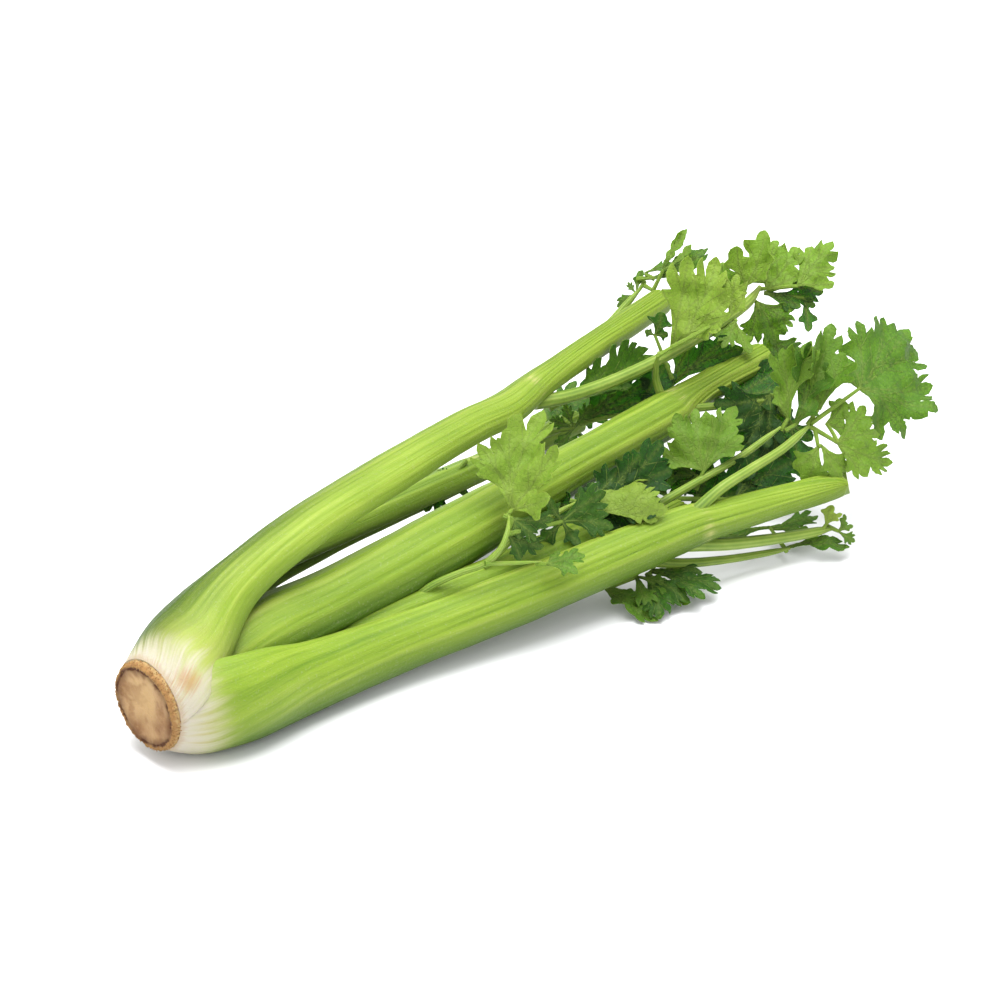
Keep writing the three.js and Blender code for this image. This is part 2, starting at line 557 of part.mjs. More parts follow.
/** A leaf: leaflets cut into lobes, on strips of bare stalk, all bowed and cupped as one sheet. */
function blade([base, tip, face, width, bow, cup, leaflets], grow = 0) {
  const start = new THREE.Vector3(...base);
  const along = new THREE.Vector3(...tip).sub(start);
  const length = along.length();
  along.normalize();
  const out = new THREE.Vector3(...face);
  out.addScaledVector(along, -out.dot(along)).normalize();
  const side = new THREE.Vector3().crossVectors(out, along);
  const thick = BLADE_THICKNESS + 2 * grow;
  const sheet = (shape, lift) => shape.offset(grow, "Miter").extrude(thick).refineToLength(BLADE_STEP)
    .warp((p) => {
      const [u, v] = [p[0] / length, p[1] / (width / 2)];
      const rise = length * THREE.MathUtils.clamp(4 * bow * u * (1 - u) + cup * v * v, -MOST_BOW, MOST_BOW);
      const place = start.clone()
        .addScaledVector(along, p[0])
        .addScaledVector(side, p[1])
        .addScaledVector(out, rise + lift(p) + p[2] - thick / 2);
      [p[0], p[1], p[2]] = place.toArray();
    });
  const parts = [];
  let [rootX, rootY, rootUp] = [0, 0, 0];
  for (const [hubX, hubY, up, lobes] of leaflets) {
    const outline = wasm.CrossSection.union(lobes.map(lobe)).translate([hubX, hubY]);
    parts.push(sheet(outline, () => up));
    const far = Math.hypot(hubX - rootX, hubY - rootY);
    const [fromX, fromY, fromUp] = [rootX, rootY, rootUp];
    const climb = (p) => {
      const t = Math.hypot(p[0] - fromX, p[1] - fromY) / far;
      return THREE.MathUtils.lerp(fromUp, up, Math.min(t, 1));
    };
    if (far > LEAFSTALK_WIDTH / 2) parts.push(sheet(strip([rootX, rootY], [hubX, hubY]), climb));
    [rootX, rootY, rootUp] = [hubX, hubY, up];
  }
  return toGeometry(wasm.Manifold.union(parts));
}

// ---- fitting the pieces together ----

/** A mesh as a solid that can be cut. */
function toSolid(geometry) {
  const bare = geometry.clone();
  bare.deleteAttribute("normal");
  bare.deleteAttribute("uv");
  const merged = mergeVertices(bare, 1e-3);
  const corners = merged.index.array;
  const faces = [];
  for (let i = 0; i < corners.length; i += 3) {
    const [a, b, c] = corners.subarray(i, i + 3);
    if (a !== b && b !== c && c !== a) faces.push(a, b, c);
  }
  return new wasm.Manifold(new wasm.Mesh({
    numProp: 3,
    vertProperties: new Float32Array(merged.attributes.position.array),
    triVerts: new Uint32Array(faces),
  }));
}

/** The solid's triangles as a geometry. */
function toGeometry(solid) {
  const mesh = solid.getMesh();
  const shape = new THREE.BufferGeometry();
  shape.setAttribute("position", new THREE.Float32BufferAttribute(mesh.vertProperties, 3));
  shape.setIndex(Array.from(mesh.triVerts));
  return shape;
}

const bunch = new THREE.Group();
const placed = [];          // each piece in the bunch, grown by the gap, with its box

/** Add a piece, cut back by the gap wherever it meets a piece that is already there. */
function add(name, make, look) {
  const grown = make(GAP);
  const box = new THREE.Box3().setFromBufferAttribute(grown.attributes.position);
  let solid = toSolid(make(0));
  for (const other of placed) {
    if (box.intersectsBox(other.box)) solid = solid.subtract(other.solid);
  }
  placed.push({ solid: toSolid(grown).add(solid), box });
  const bodies = solid.simplify(FINEST).decompose().sort((a, b) => b.volume() - a.volume());
  const material = new THREE.MeshStandardMaterial({ ...look, metalness: 0 });
  const mesh = new THREE.Mesh(toGeometry(bodies[0]), material);
  mesh.name = name;
  bunch.add(mesh);
}

add("butt", butt, BUTT_LOOK);
for (const [name, stations] of Object.entries(STALKS)) add(name, (grow) => stalk(stations, grow), STALK_LOOK);
for (const [name, route] of Object.entries(STEMS)) add(name, (grow) => stem(route, grow), STEM_LOOK);
for (const [name, shape] of Object.entries(BLADES)) add(name, (grow) => blade(shape, grow), BLADE_LOOK);

// The origin is under the middle of the bunch, on the surface that it lies on.
const extent = new THREE.Box3().setFromObject(bunch);
const middle = extent.getCenter(new THREE.Vector3());
bunch.position.set(-middle.x, -middle.y, -extent.min.z);

export default bunch;
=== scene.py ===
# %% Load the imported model
import math
import random

import bmesh
import bpy
import numpy as np
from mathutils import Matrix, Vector, noise
from mathutils.geometry import delaunay_2d_cdt


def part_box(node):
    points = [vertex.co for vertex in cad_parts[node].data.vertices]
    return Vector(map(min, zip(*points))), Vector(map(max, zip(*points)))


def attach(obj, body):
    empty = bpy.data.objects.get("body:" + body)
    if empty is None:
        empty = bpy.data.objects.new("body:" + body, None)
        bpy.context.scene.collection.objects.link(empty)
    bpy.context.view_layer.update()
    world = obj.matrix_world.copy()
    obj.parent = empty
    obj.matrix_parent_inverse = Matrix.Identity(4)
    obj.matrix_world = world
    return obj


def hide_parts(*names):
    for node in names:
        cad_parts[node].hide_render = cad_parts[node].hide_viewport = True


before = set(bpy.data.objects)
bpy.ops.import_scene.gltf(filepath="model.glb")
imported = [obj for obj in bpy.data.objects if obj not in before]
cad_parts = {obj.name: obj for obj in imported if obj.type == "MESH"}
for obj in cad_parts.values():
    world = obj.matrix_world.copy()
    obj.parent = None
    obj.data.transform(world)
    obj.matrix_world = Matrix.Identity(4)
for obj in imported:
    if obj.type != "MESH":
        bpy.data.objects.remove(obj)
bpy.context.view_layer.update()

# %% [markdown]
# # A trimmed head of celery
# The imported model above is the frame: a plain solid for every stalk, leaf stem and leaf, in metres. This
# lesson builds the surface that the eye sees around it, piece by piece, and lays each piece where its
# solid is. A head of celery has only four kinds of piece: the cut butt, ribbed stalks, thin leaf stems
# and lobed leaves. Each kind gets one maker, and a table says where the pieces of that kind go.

print("frame nodes:", len(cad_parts))

# %% [markdown]
# ## The tables' own corner
# It is easiest to write a plant down from where it grows. So the tables below are in millimetres from a
# place under the middle of the cut face, with +X towards the leaves and the surface at about z = 0. The
# frame has its origin under the middle of the bunch, so one shift takes a table's point to the frame. It
# is found from the butt's box, because the butt is a round body whose cut face is at x = 0.

# %% From a table's millimetres to the frame's metres
MM = 0.001
AXIS_HEIGHT = 25.0          # height of the butt's axis in the tables
butt_low, butt_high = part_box("butt")
butt_middle = (butt_low + butt_high) / 2
TABLE_ORIGIN = Vector((butt_low.x, butt_middle.y, butt_middle.z - AXIS_HEIGHT * MM))


def place(points):
    """Points in table millimetres as an array in frame metres."""
    return np.asarray(points, float) * MM + np.array(TABLE_ORIGIN)


print("table origin in the frame, mm:", [round(1000 * c, 1) for c in TABLE_ORIGIN])

# %% [markdown]
# ## Camera first
# The camera stands to the front left of the bunch, looking down on it. A long lens keeps the stalks'
# lines nearly parallel, as a product picture has them.

# %% Camera
CAMERA_PLACE = (-547.6, -743.3, 601.7)      # table millimetres
CAMERA_AZIMUTH = math.radians(45)           # from +Y towards +X
CAMERA_DROP = math.radians(28)              # how far it looks down
LENS = 100

camera = bpy.data.objects.new("camera", bpy.data.cameras.new("camera"))
bpy.context.scene.collection.objects.link(camera)
bpy.context.scene.camera = camera
camera.data.lens = LENS
camera.location = place(CAMERA_PLACE)
looking = Vector((
    math.sin(CAMERA_AZIMUTH) * math.cos(CAMERA_DROP),
    math.cos(CAMERA_AZIMUTH) * math.cos(CAMERA_DROP),
    -math.sin(CAMERA_DROP),
))
camera.rotation_euler = looking.to_track_quat("-Z", "Y").to_euler()
print("camera stands at, mm:", [round(1000 * c) for c in camera.location])

# %% [markdown]
# ## Floor and light
# A pale floor, a pale surrounding, one large lamp straight above and a weak one to the left of the camera.
# The large lamp is soft enough for gentle shade but small enough for a leaf to throw a shadow on the
# stalk beneath it.

# %% Floor
FLOOR_HALF = 6.0


def new_object(name, mesh):
    """An object at the origin that shows a mesh."""
    made = bpy.data.objects.new(name, mesh)
    bpy.context.scene.collection.objects.link(made)
    return made


floor_mesh = bpy.data.meshes.new("floor")
corners = [(-1, -1), (1, -1), (1, 1), (-1, 1)]
floor_mesh.from_pydata([(FLOOR_HALF * x, FLOOR_HALF * y, 0) for x, y in corners], [], [(0, 1, 2, 3)])
new_object("floor", floor_mesh)

# %% Lamps
SKY_STRENGTH = 0.95
KEY_TOWARDS = Vector((0.0, -0.02, 1.25)).normalized()
LAMP_DISTANCE = 2.0
KEY_SIZE = 1.7
KEY_WATTS = 80
FILL_TOWARDS = Vector((-0.9, -0.5, 0.9)).normalized()
FILL_SIZE = 1.4
FILL_WATTS = 10

scene = bpy.context.scene
scene.view_settings.view_transform = "Standard"
scene.world = bpy.data.worlds.new("sky")
scene.world.use_nodes = True
sky = scene.world.node_tree.nodes["Background"]
sky.inputs["Color"].default_value = (1.0, 1.0, 1.0, 1)
sky.inputs["Strength"].default_value = SKY_STRENGTH


def lamp(name, towards, size, watts):
    """A square lamp that looks at the origin from one side."""
    made = bpy.data.objects.new(name, bpy.data.lights.new(name, "AREA"))
    scene.collection.objects.link(made)
    made.data.size = size
    made.data.energy = watts
    made.location = towards * LAMP_DISTANCE
    made.rotation_euler = (-towards).to_track_quat("-Z", "Y").to_euler()


lamp("key_lamp", KEY_TOWARDS, KEY_SIZE, KEY_WATTS)
lamp("fill_lamp", FILL_TOWARDS, FILL_SIZE, FILL_WATTS)

# %% [markdown]
# ## A node tree that reads like arithmetic
# Materials and Geometry Nodes are both trees of nodes. Wiring them one by one hides the idea, so two small
# helpers do it. The first, `Reading`, wraps what comes out of a node and overloads the operators, so
# `1 - mask * 0.5` adds the two Math nodes that it needs.

# %% Readings
class Reading:
    """What comes out of a node: arithmetic on it adds Math nodes."""

    def __init__(self, plan, socket):
        self.plan = plan
        self.socket = socket

    def maths(self, operation, *values, clamp=False):
        return self.plan.node("ShaderNodeMath", {"operation": operation, "use_clamp": clamp}, values)

    def __add__(self, other):
        return self.maths("ADD", self, other)

    def __sub__(self, other):
        return self.maths("SUBTRACT", self, other)

    def __rsub__(self, other):
        return self.maths("SUBTRACT", other, self)

    def __mul__(self, other):
        return self.maths("MULTIPLY", self, other)

    def __pow__(self, other):
        return self.maths("POWER", self, other)

    __radd__ = __add__
    __rmul__ = __mul__

    def sine(self):
        return self.maths("SINE", self)

    def floor(self):
        return self.maths("FLOOR", self)

    def size(self):
        """The number without its sign."""
        return self.maths("ABSOLUTE", self)

    def kept(self):
        """The number kept between 0 and 1."""
        return self.maths("ADD", self, 0.0, clamp=True)

    def rise(self, low, high, start=0.0, end=1.0):
        """From start to end, smoothly, as the number goes from low to high."""
        return self.plan.node(
            "ShaderNodeMapRange", {"interpolation_type": "SMOOTHSTEP"}, (self, low, high, start, end)
        )


# %% [markdown]
# The second helper, `Plan`, adds one node at a time, from its type, its settings and what goes into its
# sockets. Its other methods are short names for the nodes that are used most.

# %% Plans
class Plan:
    """Adds nodes to one tree."""

    def __init__(self, tree):
        self.tree = tree

    def node(self, kind, settings=None, sockets=(), out=0):
        """A node of that kind: its settings are set first, then its sockets get values or links."""
        made = self.tree.nodes.new(kind)
        for key, value in (settings or {}).items():
            if key == "stops":
                self.colour_stops(made.color_ramp.elements, value)
            else:
                setattr(made, key, value)
        named = sockets.items() if isinstance(sockets, dict) else enumerate(sockets)
        for key, value in named:
            if isinstance(value, Reading):
                self.tree.links.new(value.socket, made.inputs[key])
            elif value is not None:
                made.inputs[key].default_value = value
        return Reading(self, made.outputs[out]) if len(made.outputs) else made

    def colour_stops(self, elements, stops):
        for element in list(elements)[1:]:
            elements.remove(element)
        for number, (position, colour) in enumerate(stops):
            element = elements[0] if number == 0 else elements.new(position)
            element.position = position
            element.color = colour

    def attribute(self, name):
        """A number that the mesh carries at each point."""
        return self.node("ShaderNodeAttribute", {"attribute_name": name}, out="Fac")

    def mix(self, factor, first, second, blend="MIX"):
        """A colour between two colours."""
        settings = {"data_type": "RGBA", "blend_type": blend}
        return self.node("ShaderNodeMix", settings, {0: factor, 6: first, 7: second}, out=2)

    def vector(self, x=0.0, y=0.0, z=0.0):
        return self.node("ShaderNodeCombineXYZ", {}, (x, y, z))

    def gap(self, vector, centre):
        """How far each place is from a centre."""
        settings = {"operation": "DISTANCE"}
        return self.node("ShaderNodeVectorMath", settings, {0: vector, 1: centre}, out="Value")

    def carried(self, name):
        """In Geometry Nodes, a number that the mesh carries at each point."""
        settings = {"data_type": "FLOAT"}
        return self.node("GeometryNodeInputNamedAttribute", settings, {"Name": name}, out="Attribute")

    def stored(self, geometry, name, value, domain="POINT"):
        """In Geometry Nodes, the geometry with one more number on it."""
        settings = {"data_type": "FLOAT", "domain": domain}
        sockets = {"Geometry": geometry, "Name": name, "Value": value}
        return self.node("GeometryNodeStoreNamedAttribute", settings, sockets)

    def scaled(self, vector, factor):
        """A vector made longer or shorter."""
        settings = {"operation": "SCALE"}
        return self.node("ShaderNodeVectorMath", settings, {0: vector, "Scale": factor})

    def ramp(self, value, *stops):
        """The colour that a number from 0 to 1 has on a scale of colours."""
        return self.node("ShaderNodeValToRGB", {"stops": stops}, (value,))

    def clouds(self, vector, scale, detail=2.0, roughness=0.5):
        """Soft noise from 0 to 1, with about `scale` clouds in each unit of the vector."""
        sockets = {"Vector": vector, "Scale": scale, "Detail": detail, "Roughness": roughness}
        return self.node("ShaderNodeTexNoise", {}, sockets, out=0)


# %% [markdown]
# ## Colours as they look
# A colour is easiest to judge as it looks on a screen, so it is written that way and turned into the
# share of light that the surface gives back. The lamps are too bright on purpose, so every surface gives
# back less to make up for it.

# %% Screen colours
BRIGHTNESS = 2.0            # the lamps are this much too bright, to burn the floor out to white


def paint(red, green, blue):
    """A screen colour, 0 to 255, as the linear colour of a surface under these lamps."""
    def linear(value):
        share = value / 255
        return (share / 12.92 if share <= 0.04045 else ((share + 0.055) / 1.055) ** 2.4) / BRIGHTNESS
    return (linear(red), linear(green), linear(blue), 1.0)


print("a mid green is", [round(c, 3) for c in paint(150, 190, 60)])

# %% [markdown]
# ## One finish for every surface
# Each material is a Principled shader. Only its colour, roughness and bump change over the surface. The
# constants, such as how much light goes a little way into the flesh, are set on the shader's own sockets.

# %% A finish
FLESH_RADIUS = (0.6, 1.0, 0.25)     # how far red, green and blue light goes in, against each other
FLESH_DEPTH = 0.004                 # and the distance in metres that this is multiplied by


def finish(name, colour_and_bump, constants):
    """A material: colour_and_bump(plan) gives its colour, roughness, height and the height's depth."""
    made = bpy.data.materials.new(name)
    made.use_nodes = True
    made.node_tree.nodes.clear()
    plan = Plan(made.node_tree)
    colour, roughness, height, depth = colour_and_bump(plan)
    bump = plan.node("ShaderNodeBump", {}, {"Distance": depth, "Height": height})
    shader = plan.node("ShaderNodeBsdfPrincipled", {}, {
        "Base Color": colour, "Roughness": roughness, "Normal": bump, **constants,
    })
    plan.node("ShaderNodeOutputMaterial", {}, {"Surface": shader})
    return made


def flesh(share):
    """Constants for moist plant tissue that lets a share of the light in."""
    return {
        "Subsurface Weight": share,
        "Subsurface Radius": FLESH_RADIUS,
        "Subsurface Scale": FLESH_DEPTH,
        "Specular IOR Level": 0.17,
    }


def points_of(plan):
    """The place on the piece, in metres."""
    return plan.node("ShaderNodeTexCoord", out="Object")


# %% [markdown]
# ## The stalk's skin
# A stalk is cream where it grows from the butt and turns yellow-green, then green, within a hand's
# breadth. Its ribs are paler than the furrows between them, and each rib has its own tint. At a knuckle,
# where leaf stems part, the skin is pale yellow. Where the stalk was cut the flesh is pale. Shade is
# painted on as a deeper green where the skin faces down and on the far side of some stalks near the butt.
# The
# meshes carry what the pattern follows: `along` in metres from the butt, `across` from -1 to 1, `rib`,
# `skin`, `low`, the painted shade where the surface faces down, `knuckle` and `cut`.

# %% Stalk skin
CREAM = paint(234, 226, 204)
CREAM_STAIN = paint(226, 196, 134)
YOUNG = paint(200, 210, 108)
RIDGE = paint(196, 218, 92)
MID = paint(164, 196, 62)
FURROW = paint(124, 162, 42)
# a deep green, which is also the painted shade on skin that faces down
DEEP_GREEN_AND_PAINTED_SHADE = paint(84, 122, 24)
# painted shade on the far side of a stalk near the butt
FAR_SHADE = paint(74, 106, 10)
KNUCKLE = paint(214, 216, 128)
CUT_FLESH = paint(196, 214, 112)
GROOVE = paint(170, 200, 80)
BRUISE = paint(212, 152, 74)
FRAYED = paint(196, 150, 96)
BRUISE_PLACE = tuple(place((10, -16, 40)))


def stalk_skin(name, cream_end, green_start, lean, green_depth_and_painted_shade, contrast, far_side_painted_shade):
    """One stalk's finish, from the numbers of its row in the table of stalks."""
    def colour_and_bump(plan):
        along, across = plan.attribute("along"), plan.attribute("across")
        rib, skin = plan.attribute("rib"), plan.attribute("skin")
        place_on = points_of(plan)
        streaks = plan.clouds(plan.vector(along * 14.0, across * 9.0, skin), 1.0, 3.0, 0.55)
        fibres = plan.clouds(plan.vector(along * 60.0, across * 46.0, skin), 1.0, 3.0, 0.6)
        patches = plan.clouds(place_on, 22.0, 2.0, 0.5)
        speckle = plan.clouds(place_on, 900.0, 2.0, 0.6)
        bands = plan.clouds(plan.vector(along * 3.0, across * 2.2, skin + cream_end * 900.0), 1.0, 1.0)
        shade = rib * contrast + streaks * 0.4 + fibres * 0.3 + (bands - 0.5) * 0.5
        # A deeper green here is partly painted shade, for the stalks that lie in the bunch's shade.
        shade = shade + (0.2 - 0.45 * contrast - green_depth_and_painted_shade)
        greens = plan.ramp(
            shade.kept(), (0.08, DEEP_GREEN_AND_PAINTED_SHADE), (0.3, FURROW), (0.55, MID), (0.8, RIDGE), (1.0, YOUNG)
        )
        greens = plan.mix(patches.rise(0.42, 0.7) * 0.35, greens, FURROW)

        reach = along * (1 - across * lean) + (streaks - 0.5) * 0.022 + (fibres - 0.5) * 0.011
        young = reach.rise(cream_end * 0.8, green_start * 1.2)
        base = plan.mix(young, YOUNG, greens)
        cream = reach.rise(cream_end * 0.3, cream_end * 2.3)
        stain = streaks.rise(0.5, 0.68) * patches.rise(0.4, 0.6) * 0.8
        pale = plan.mix(stain, CREAM, CREAM_STAIN)
        colour = plan.mix(cream, pale, base)
        # Painted shade: the far side of a stalk near the butt is darkened, as much as the stalk's row says.
        edge = across + (streaks - 0.5) * 0.6
        far_side_shade_mask = edge.rise(0.55, -0.3) * reach.rise(0.006, 0.02) * along.rise(0.18, 0.06, 0.3, 1.0)
        colour = plan.mix((far_side_shade_mask * far_side_painted_shade).kept(), colour, FAR_SHADE)
        # Painted shade: skin that faces down is darkened towards a deep green.
        colour = plan.mix((plan.attribute("low") * young * (0.7 + 0.5 * streaks)).kept(), colour, DEEP_GREEN_AND_PAINTED_SHADE)
        bruise = plan.gap(place_on, BRUISE_PLACE) + (fibres - 0.5) * 0.012
        colour = plan.mix(bruise.rise(0.007, 0.001) * 0.6, colour, BRUISE)
        frayed = (along + (fibres - 0.5) * 0.006).rise(0.0062, 0.0038)
        colour = plan.mix(frayed * 0.4, colour, FRAYED)
        colour = plan.mix(plan.attribute("knuckle") * streaks.rise(0.5, 0.6, 0.08, 0.9), colour, KNUCKLE)
        inside = (1 - skin) * young
        colour = plan.mix(inside.kept() * 0.6, colour, GROOVE)
        colour = plan.mix(plan.attribute("cut").kept(), colour, CUT_FLESH)
        colour = plan.mix(speckle.rise(0.56, 0.75) * 0.12, colour, CREAM)

        roughness = 0.42 - rib * 0.06 + fibres * 0.1
        height = fibres * 0.6 + speckle * 0.4
        return colour, roughness, height, 0.0004
    return finish(name, colour_and_bump, flesh(0.25))


print("stalk skin ready, from cream", [round(c, 2) for c in CREAM[:3]])

# %% [markdown]
# ## Leaf stems
# The stems are paler than the leaves, with fine ribs and a waxy look, and yellower towards the leaf.

# %% Stem skin
STEM_PALE = paint(190, 210, 104)
STEM_MID = paint(150, 182, 70)
STEM_DARK = paint(104, 142, 46)


def stem_skin():
    def colour_and_bump(plan):
        along, rib = plan.attribute("along"), plan.attribute("rib")
        place_on = points_of(plan)
        streaks = plan.clouds(place_on, 90.0, 2.0, 0.5)
        speckle = plan.clouds(place_on, 1200.0, 1.0, 0.5)
        shade = rib * 0.35 + streaks * 0.7 + along * 0.15 - 0.1
        colour = plan.ramp(shade.kept(), (0.1, STEM_DARK), (0.45, STEM_MID), (0.85, STEM_PALE))
        return colour, 0.4 + streaks * 0.1, speckle, 0.0002
    return finish("stem_skin", colour_and_bump, {**flesh(0.3), "Coat Weight": 0.05, "Coat Roughness": 0.3})


# %% [markdown]
# ## Leaf
# A celery leaf is mid green above and paler and duller below. Its veins are pale lines, the tissue
# between them is a little uneven, and young leaves are yellower than old ones. Each leaf's own tint is a
# number on its mesh, from 0 for an old dark leaf to 1 for a young pale one. Leaves deep in the bunch have
# low tints, which are partly painted shade.

# %% Leaf finish
# the darkest leaf colour, for old leaves and for painted shade on leaves deep in the bunch
LEAF_OLD_AND_PAINTED_SHADE = paint(34, 70, 24)
LEAF_DEEP = paint(52, 92, 30)
LEAF_GREEN = paint(92, 134, 40)
LEAF_YOUNG = paint(130, 166, 54)
LEAF_PALE = paint(164, 188, 78)
VEIN = paint(160, 190, 88)


def leaf_finish():
    def colour_and_bump(plan):
        place_on = points_of(plan)
        patches = plan.clouds(place_on, 60.0, 3.0, 0.55)
        mottle = plan.clouds(place_on, 420.0, 3.0, 0.6)
        cells = plan.node("ShaderNodeTexVoronoi", {"feature": "DISTANCE_TO_EDGE"}, {
            "Vector": place_on, "Scale": 480.0,
        })
        under = plan.attribute("under")
        # A low tint is partly painted shade, for leaves deep in the bunch.
        shade = plan.attribute("age_tint_and_painted_shade") + (patches - 0.5) * 0.24 + (mottle - 0.5) * 0.1 + under * 0.14
        tones = (LEAF_OLD_AND_PAINTED_SHADE, LEAF_DEEP, LEAF_GREEN, LEAF_YOUNG, LEAF_PALE)
        colour = plan.ramp(shade.kept(), *((number / 4, tone) for number, tone in enumerate(tones)))
        vein = plan.attribute("vein")
        colour = plan.mix((vein * 0.32).kept(), colour, VEIN)
        colour = plan.mix(plan.attribute("stalk").kept() * 0.75, colour, STEM_MID)
        roughness = 0.5 + mottle * 0.12 + under * 0.1
        height = cells.rise(0.0, 0.12) * 0.5 + mottle * 0.5 + vein
        return colour, roughness, height, 0.00025
    return finish("leaf", colour_and_bump, {**flesh(0.18), "Specular IOR Level": 0.14})


# %% [markdown]
# ## The cut butt
# The cut face dries to tan, with a paler heart, brown blotches, a dark crease inside the rim and a crumbly
# brown edge. The mesh carries `radius`, from 0 at the middle to 1 at the rim.

# %% Butt finish
BUTT_HEART = paint(236, 196, 138)
BUTT_TAN = paint(214, 172, 122)
BUTT_DULL = paint(164, 116, 72)
BUTT_CREASE = paint(104, 62, 30)
BUTT_EDGE = paint(196, 148, 90)
BUTT_SPOT = paint(96, 60, 30)
HEART_PLACE = tuple(place((0, 3, 26)))


def butt_finish():
    def colour_and_bump(plan):
        place_on = points_of(plan)
        radius = plan.attribute("radius")
        blotches = plan.clouds(place_on, 62.0, 1.5, 0.5)
        grain = plan.clouds(place_on, 420.0, 4.0, 0.65)
        crumbs = plan.clouds(place_on, 1500.0, 2.0, 0.6)
        uneven = radius + (grain - 0.5) * 0.1 + (blotches - 0.5) * 0.12
        tone = blotches * 0.85 + grain * 0.15 + radius.rise(0.75, 0.1) * 0.12 - 0.03
        colour = plan.ramp(tone, (0.36, BUTT_DULL), (0.46, BUTT_TAN), (0.58, BUTT_HEART))
        from_heart = plan.gap(place_on, HEART_PLACE) + (grain - 0.5) * 0.006
        colour = plan.mix(from_heart.rise(0.014, 0.003) * 0.8, colour, BUTT_HEART)
        smudge = plan.clouds(place_on, 150.0, 2.0, 0.5)
        colour = plan.mix(smudge.rise(0.5, 0.66) * radius.rise(0.2, 0.7, 0.3, 0.6), colour, BUTT_DULL)
        crease = uneven.rise(0.84, 0.9) * smudge.rise(0.4, 0.65) * 0.7
        dark = uneven.rise(0.66, 0.9) * (0.2 + smudge * 0.6) + crease
        colour = plan.mix(dark.kept(), colour, BUTT_CREASE)
        colour = plan.mix(uneven.rise(0.92, 0.97), colour, BUTT_EDGE)
        worn = (radius.rise(1.0, 1.05) * 1.5 + (grain - 0.5) * 4 - 0.5).kept()
        colour = plan.mix(worn * 0.7, colour, CREAM_STAIN)
        spots = crumbs.rise(0.6, 0.7) * radius.rise(0.86, 0.96)
        colour = plan.mix(spots * 0.85, colour, BUTT_SPOT)
        height = grain * 0.7 + crumbs * 0.3
        return colour, 0.72 + grain * 0.15, height, 0.0009
    return finish("butt_flesh", colour_and_bump, {**flesh(0.1), "Specular IOR Level": 0.25})


# %% [markdown]
# ## Floor finish
# The floor is a pale, almost even grey, which the lamps burn out to white.

# %% Floor finish
FLOOR_GREY = (0.78, 0.785, 0.8, 1)
FLOOR_PALE = (0.82, 0.825, 0.84, 1)


def floor_finish():
    def colour_and_bump(plan):
        haze = plan.clouds(points_of(plan), 1.5, 1.0, 0.5)
        colour = plan.mix(haze, FLOOR_GREY, FLOOR_PALE)
        return colour, 0.7 + haze * 0.1, haze, 0.0001
    return finish("pale_floor", colour_and_bump, {"Specular IOR Level": 0.1})


floor_mesh.materials.append(floor_finish())
LEAF, STEM, BUTT = leaf_finish(), stem_skin(), butt_finish()
print("finishes:", sorted(material.name for material in bpy.data.materials))

# %% [markdown]
# ## From a tree to a finished piece
# A Geometry Nodes tree is a recipe, and the export wants a plain mesh. So a source object gets the tree as
# a modifier, its inputs are set, the evaluated result becomes a mesh of its own, and the source goes.

# %% Recipes
def recipe(name, inputs):
    """A new Geometry Nodes tree with named inputs. Gives the plan, the geometry, and a reading for each."""
    tree = bpy.data.node_groups.new(name, "GeometryNodeTree")
    tree.interface.new_socket("Geometry", in_out="INPUT", socket_type="NodeSocketGeometry")
    for label, kind in inputs.items():
        tree.interface.new_socket(label, in_out="INPUT", socket_type="NodeSocket" + kind)
    tree.interface.new_socket("Geometry", in_out="OUTPUT", socket_type="NodeSocketGeometry")
    plan = Plan(tree)
    start = tree.nodes.new("NodeGroupInput")
    given = {label: Reading(plan, start.outputs[label]) for label in inputs}
    return plan, Reading(plan, start.outputs["Geometry"]), given


def end_recipe(plan, geometry, material):
    """Every recipe ends in real geometry with its material."""
    real = plan.node("GeometryNodeRealizeInstances", {}, {"Geometry": geometry})
    smooth = plan.node("GeometryNodeSetShadeSmooth", {}, {"Geometry": real})
    painted = plan.node("GeometryNodeSetMaterial", {}, {"Geometry": smooth, "Material": material})
    plan.node("NodeGroupOutput", {}, {"Geometry": painted})
    return plan.tree


def cooked(source_mesh, tree, values):
    """The mesh that a recipe makes from a source mesh."""
    source = new_object("source", source_mesh)
    modifier = source.modifiers.new("recipe", "NODES")
    modifier.node_group = tree
    for item in tree.interface.items_tree:
        if item.in_out == "INPUT" and item.name in values:
            modifier[item.identifier] = values[item.name]
    evaluated = source.evaluated_get(bpy.context.evaluated_depsgraph_get())
    mesh = bpy.data.meshes.new_from_object(evaluated)
    source.modifiers.remove(modifier)
    bpy.data.objects.remove(source)
    return mesh


# %% [markdown]
# The finished piece's object sits at the origin, with its place in its mesh, and rides on the bunch's one
# body. It stands for its own solid, which stays behind it for collision.

# %% Pieces
def finished(name, mesh, node):
    """The piece's object, which rides on the bunch's body in place of its solid, now hidden."""
    piece = new_object(name, mesh)
    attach(piece, "root")
    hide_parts(node)


def mesh_of(name, points, faces, numbers, edges=()):
    """A mesh in the frame with the numbers that each point carries."""
    mesh = bpy.data.meshes.new(name)
    mesh.from_pydata(np.asarray(points).tolist(), list(edges), faces)
    for label, values in numbers.items():
        layer = mesh.attributes.new(label, "FLOAT", "POINT")
        layer.data.foreach_set("value", np.asarray(values, np.float32))
    mesh.update()
    return mesh


def triangles(mesh):
    return sum(len(face.vertices) - 2 for face in mesh.polygons)


# %% [markdown]
# ## Where the stalks run
# A stalk is a channel: a ribbed back, two rounded edges and a groove. Each station in the table is a place
# on the channel's base line, then its width, its depth from back to edges, the thickness of its wall in
# the middle and at the edges, and the way its back faces, as y and z.

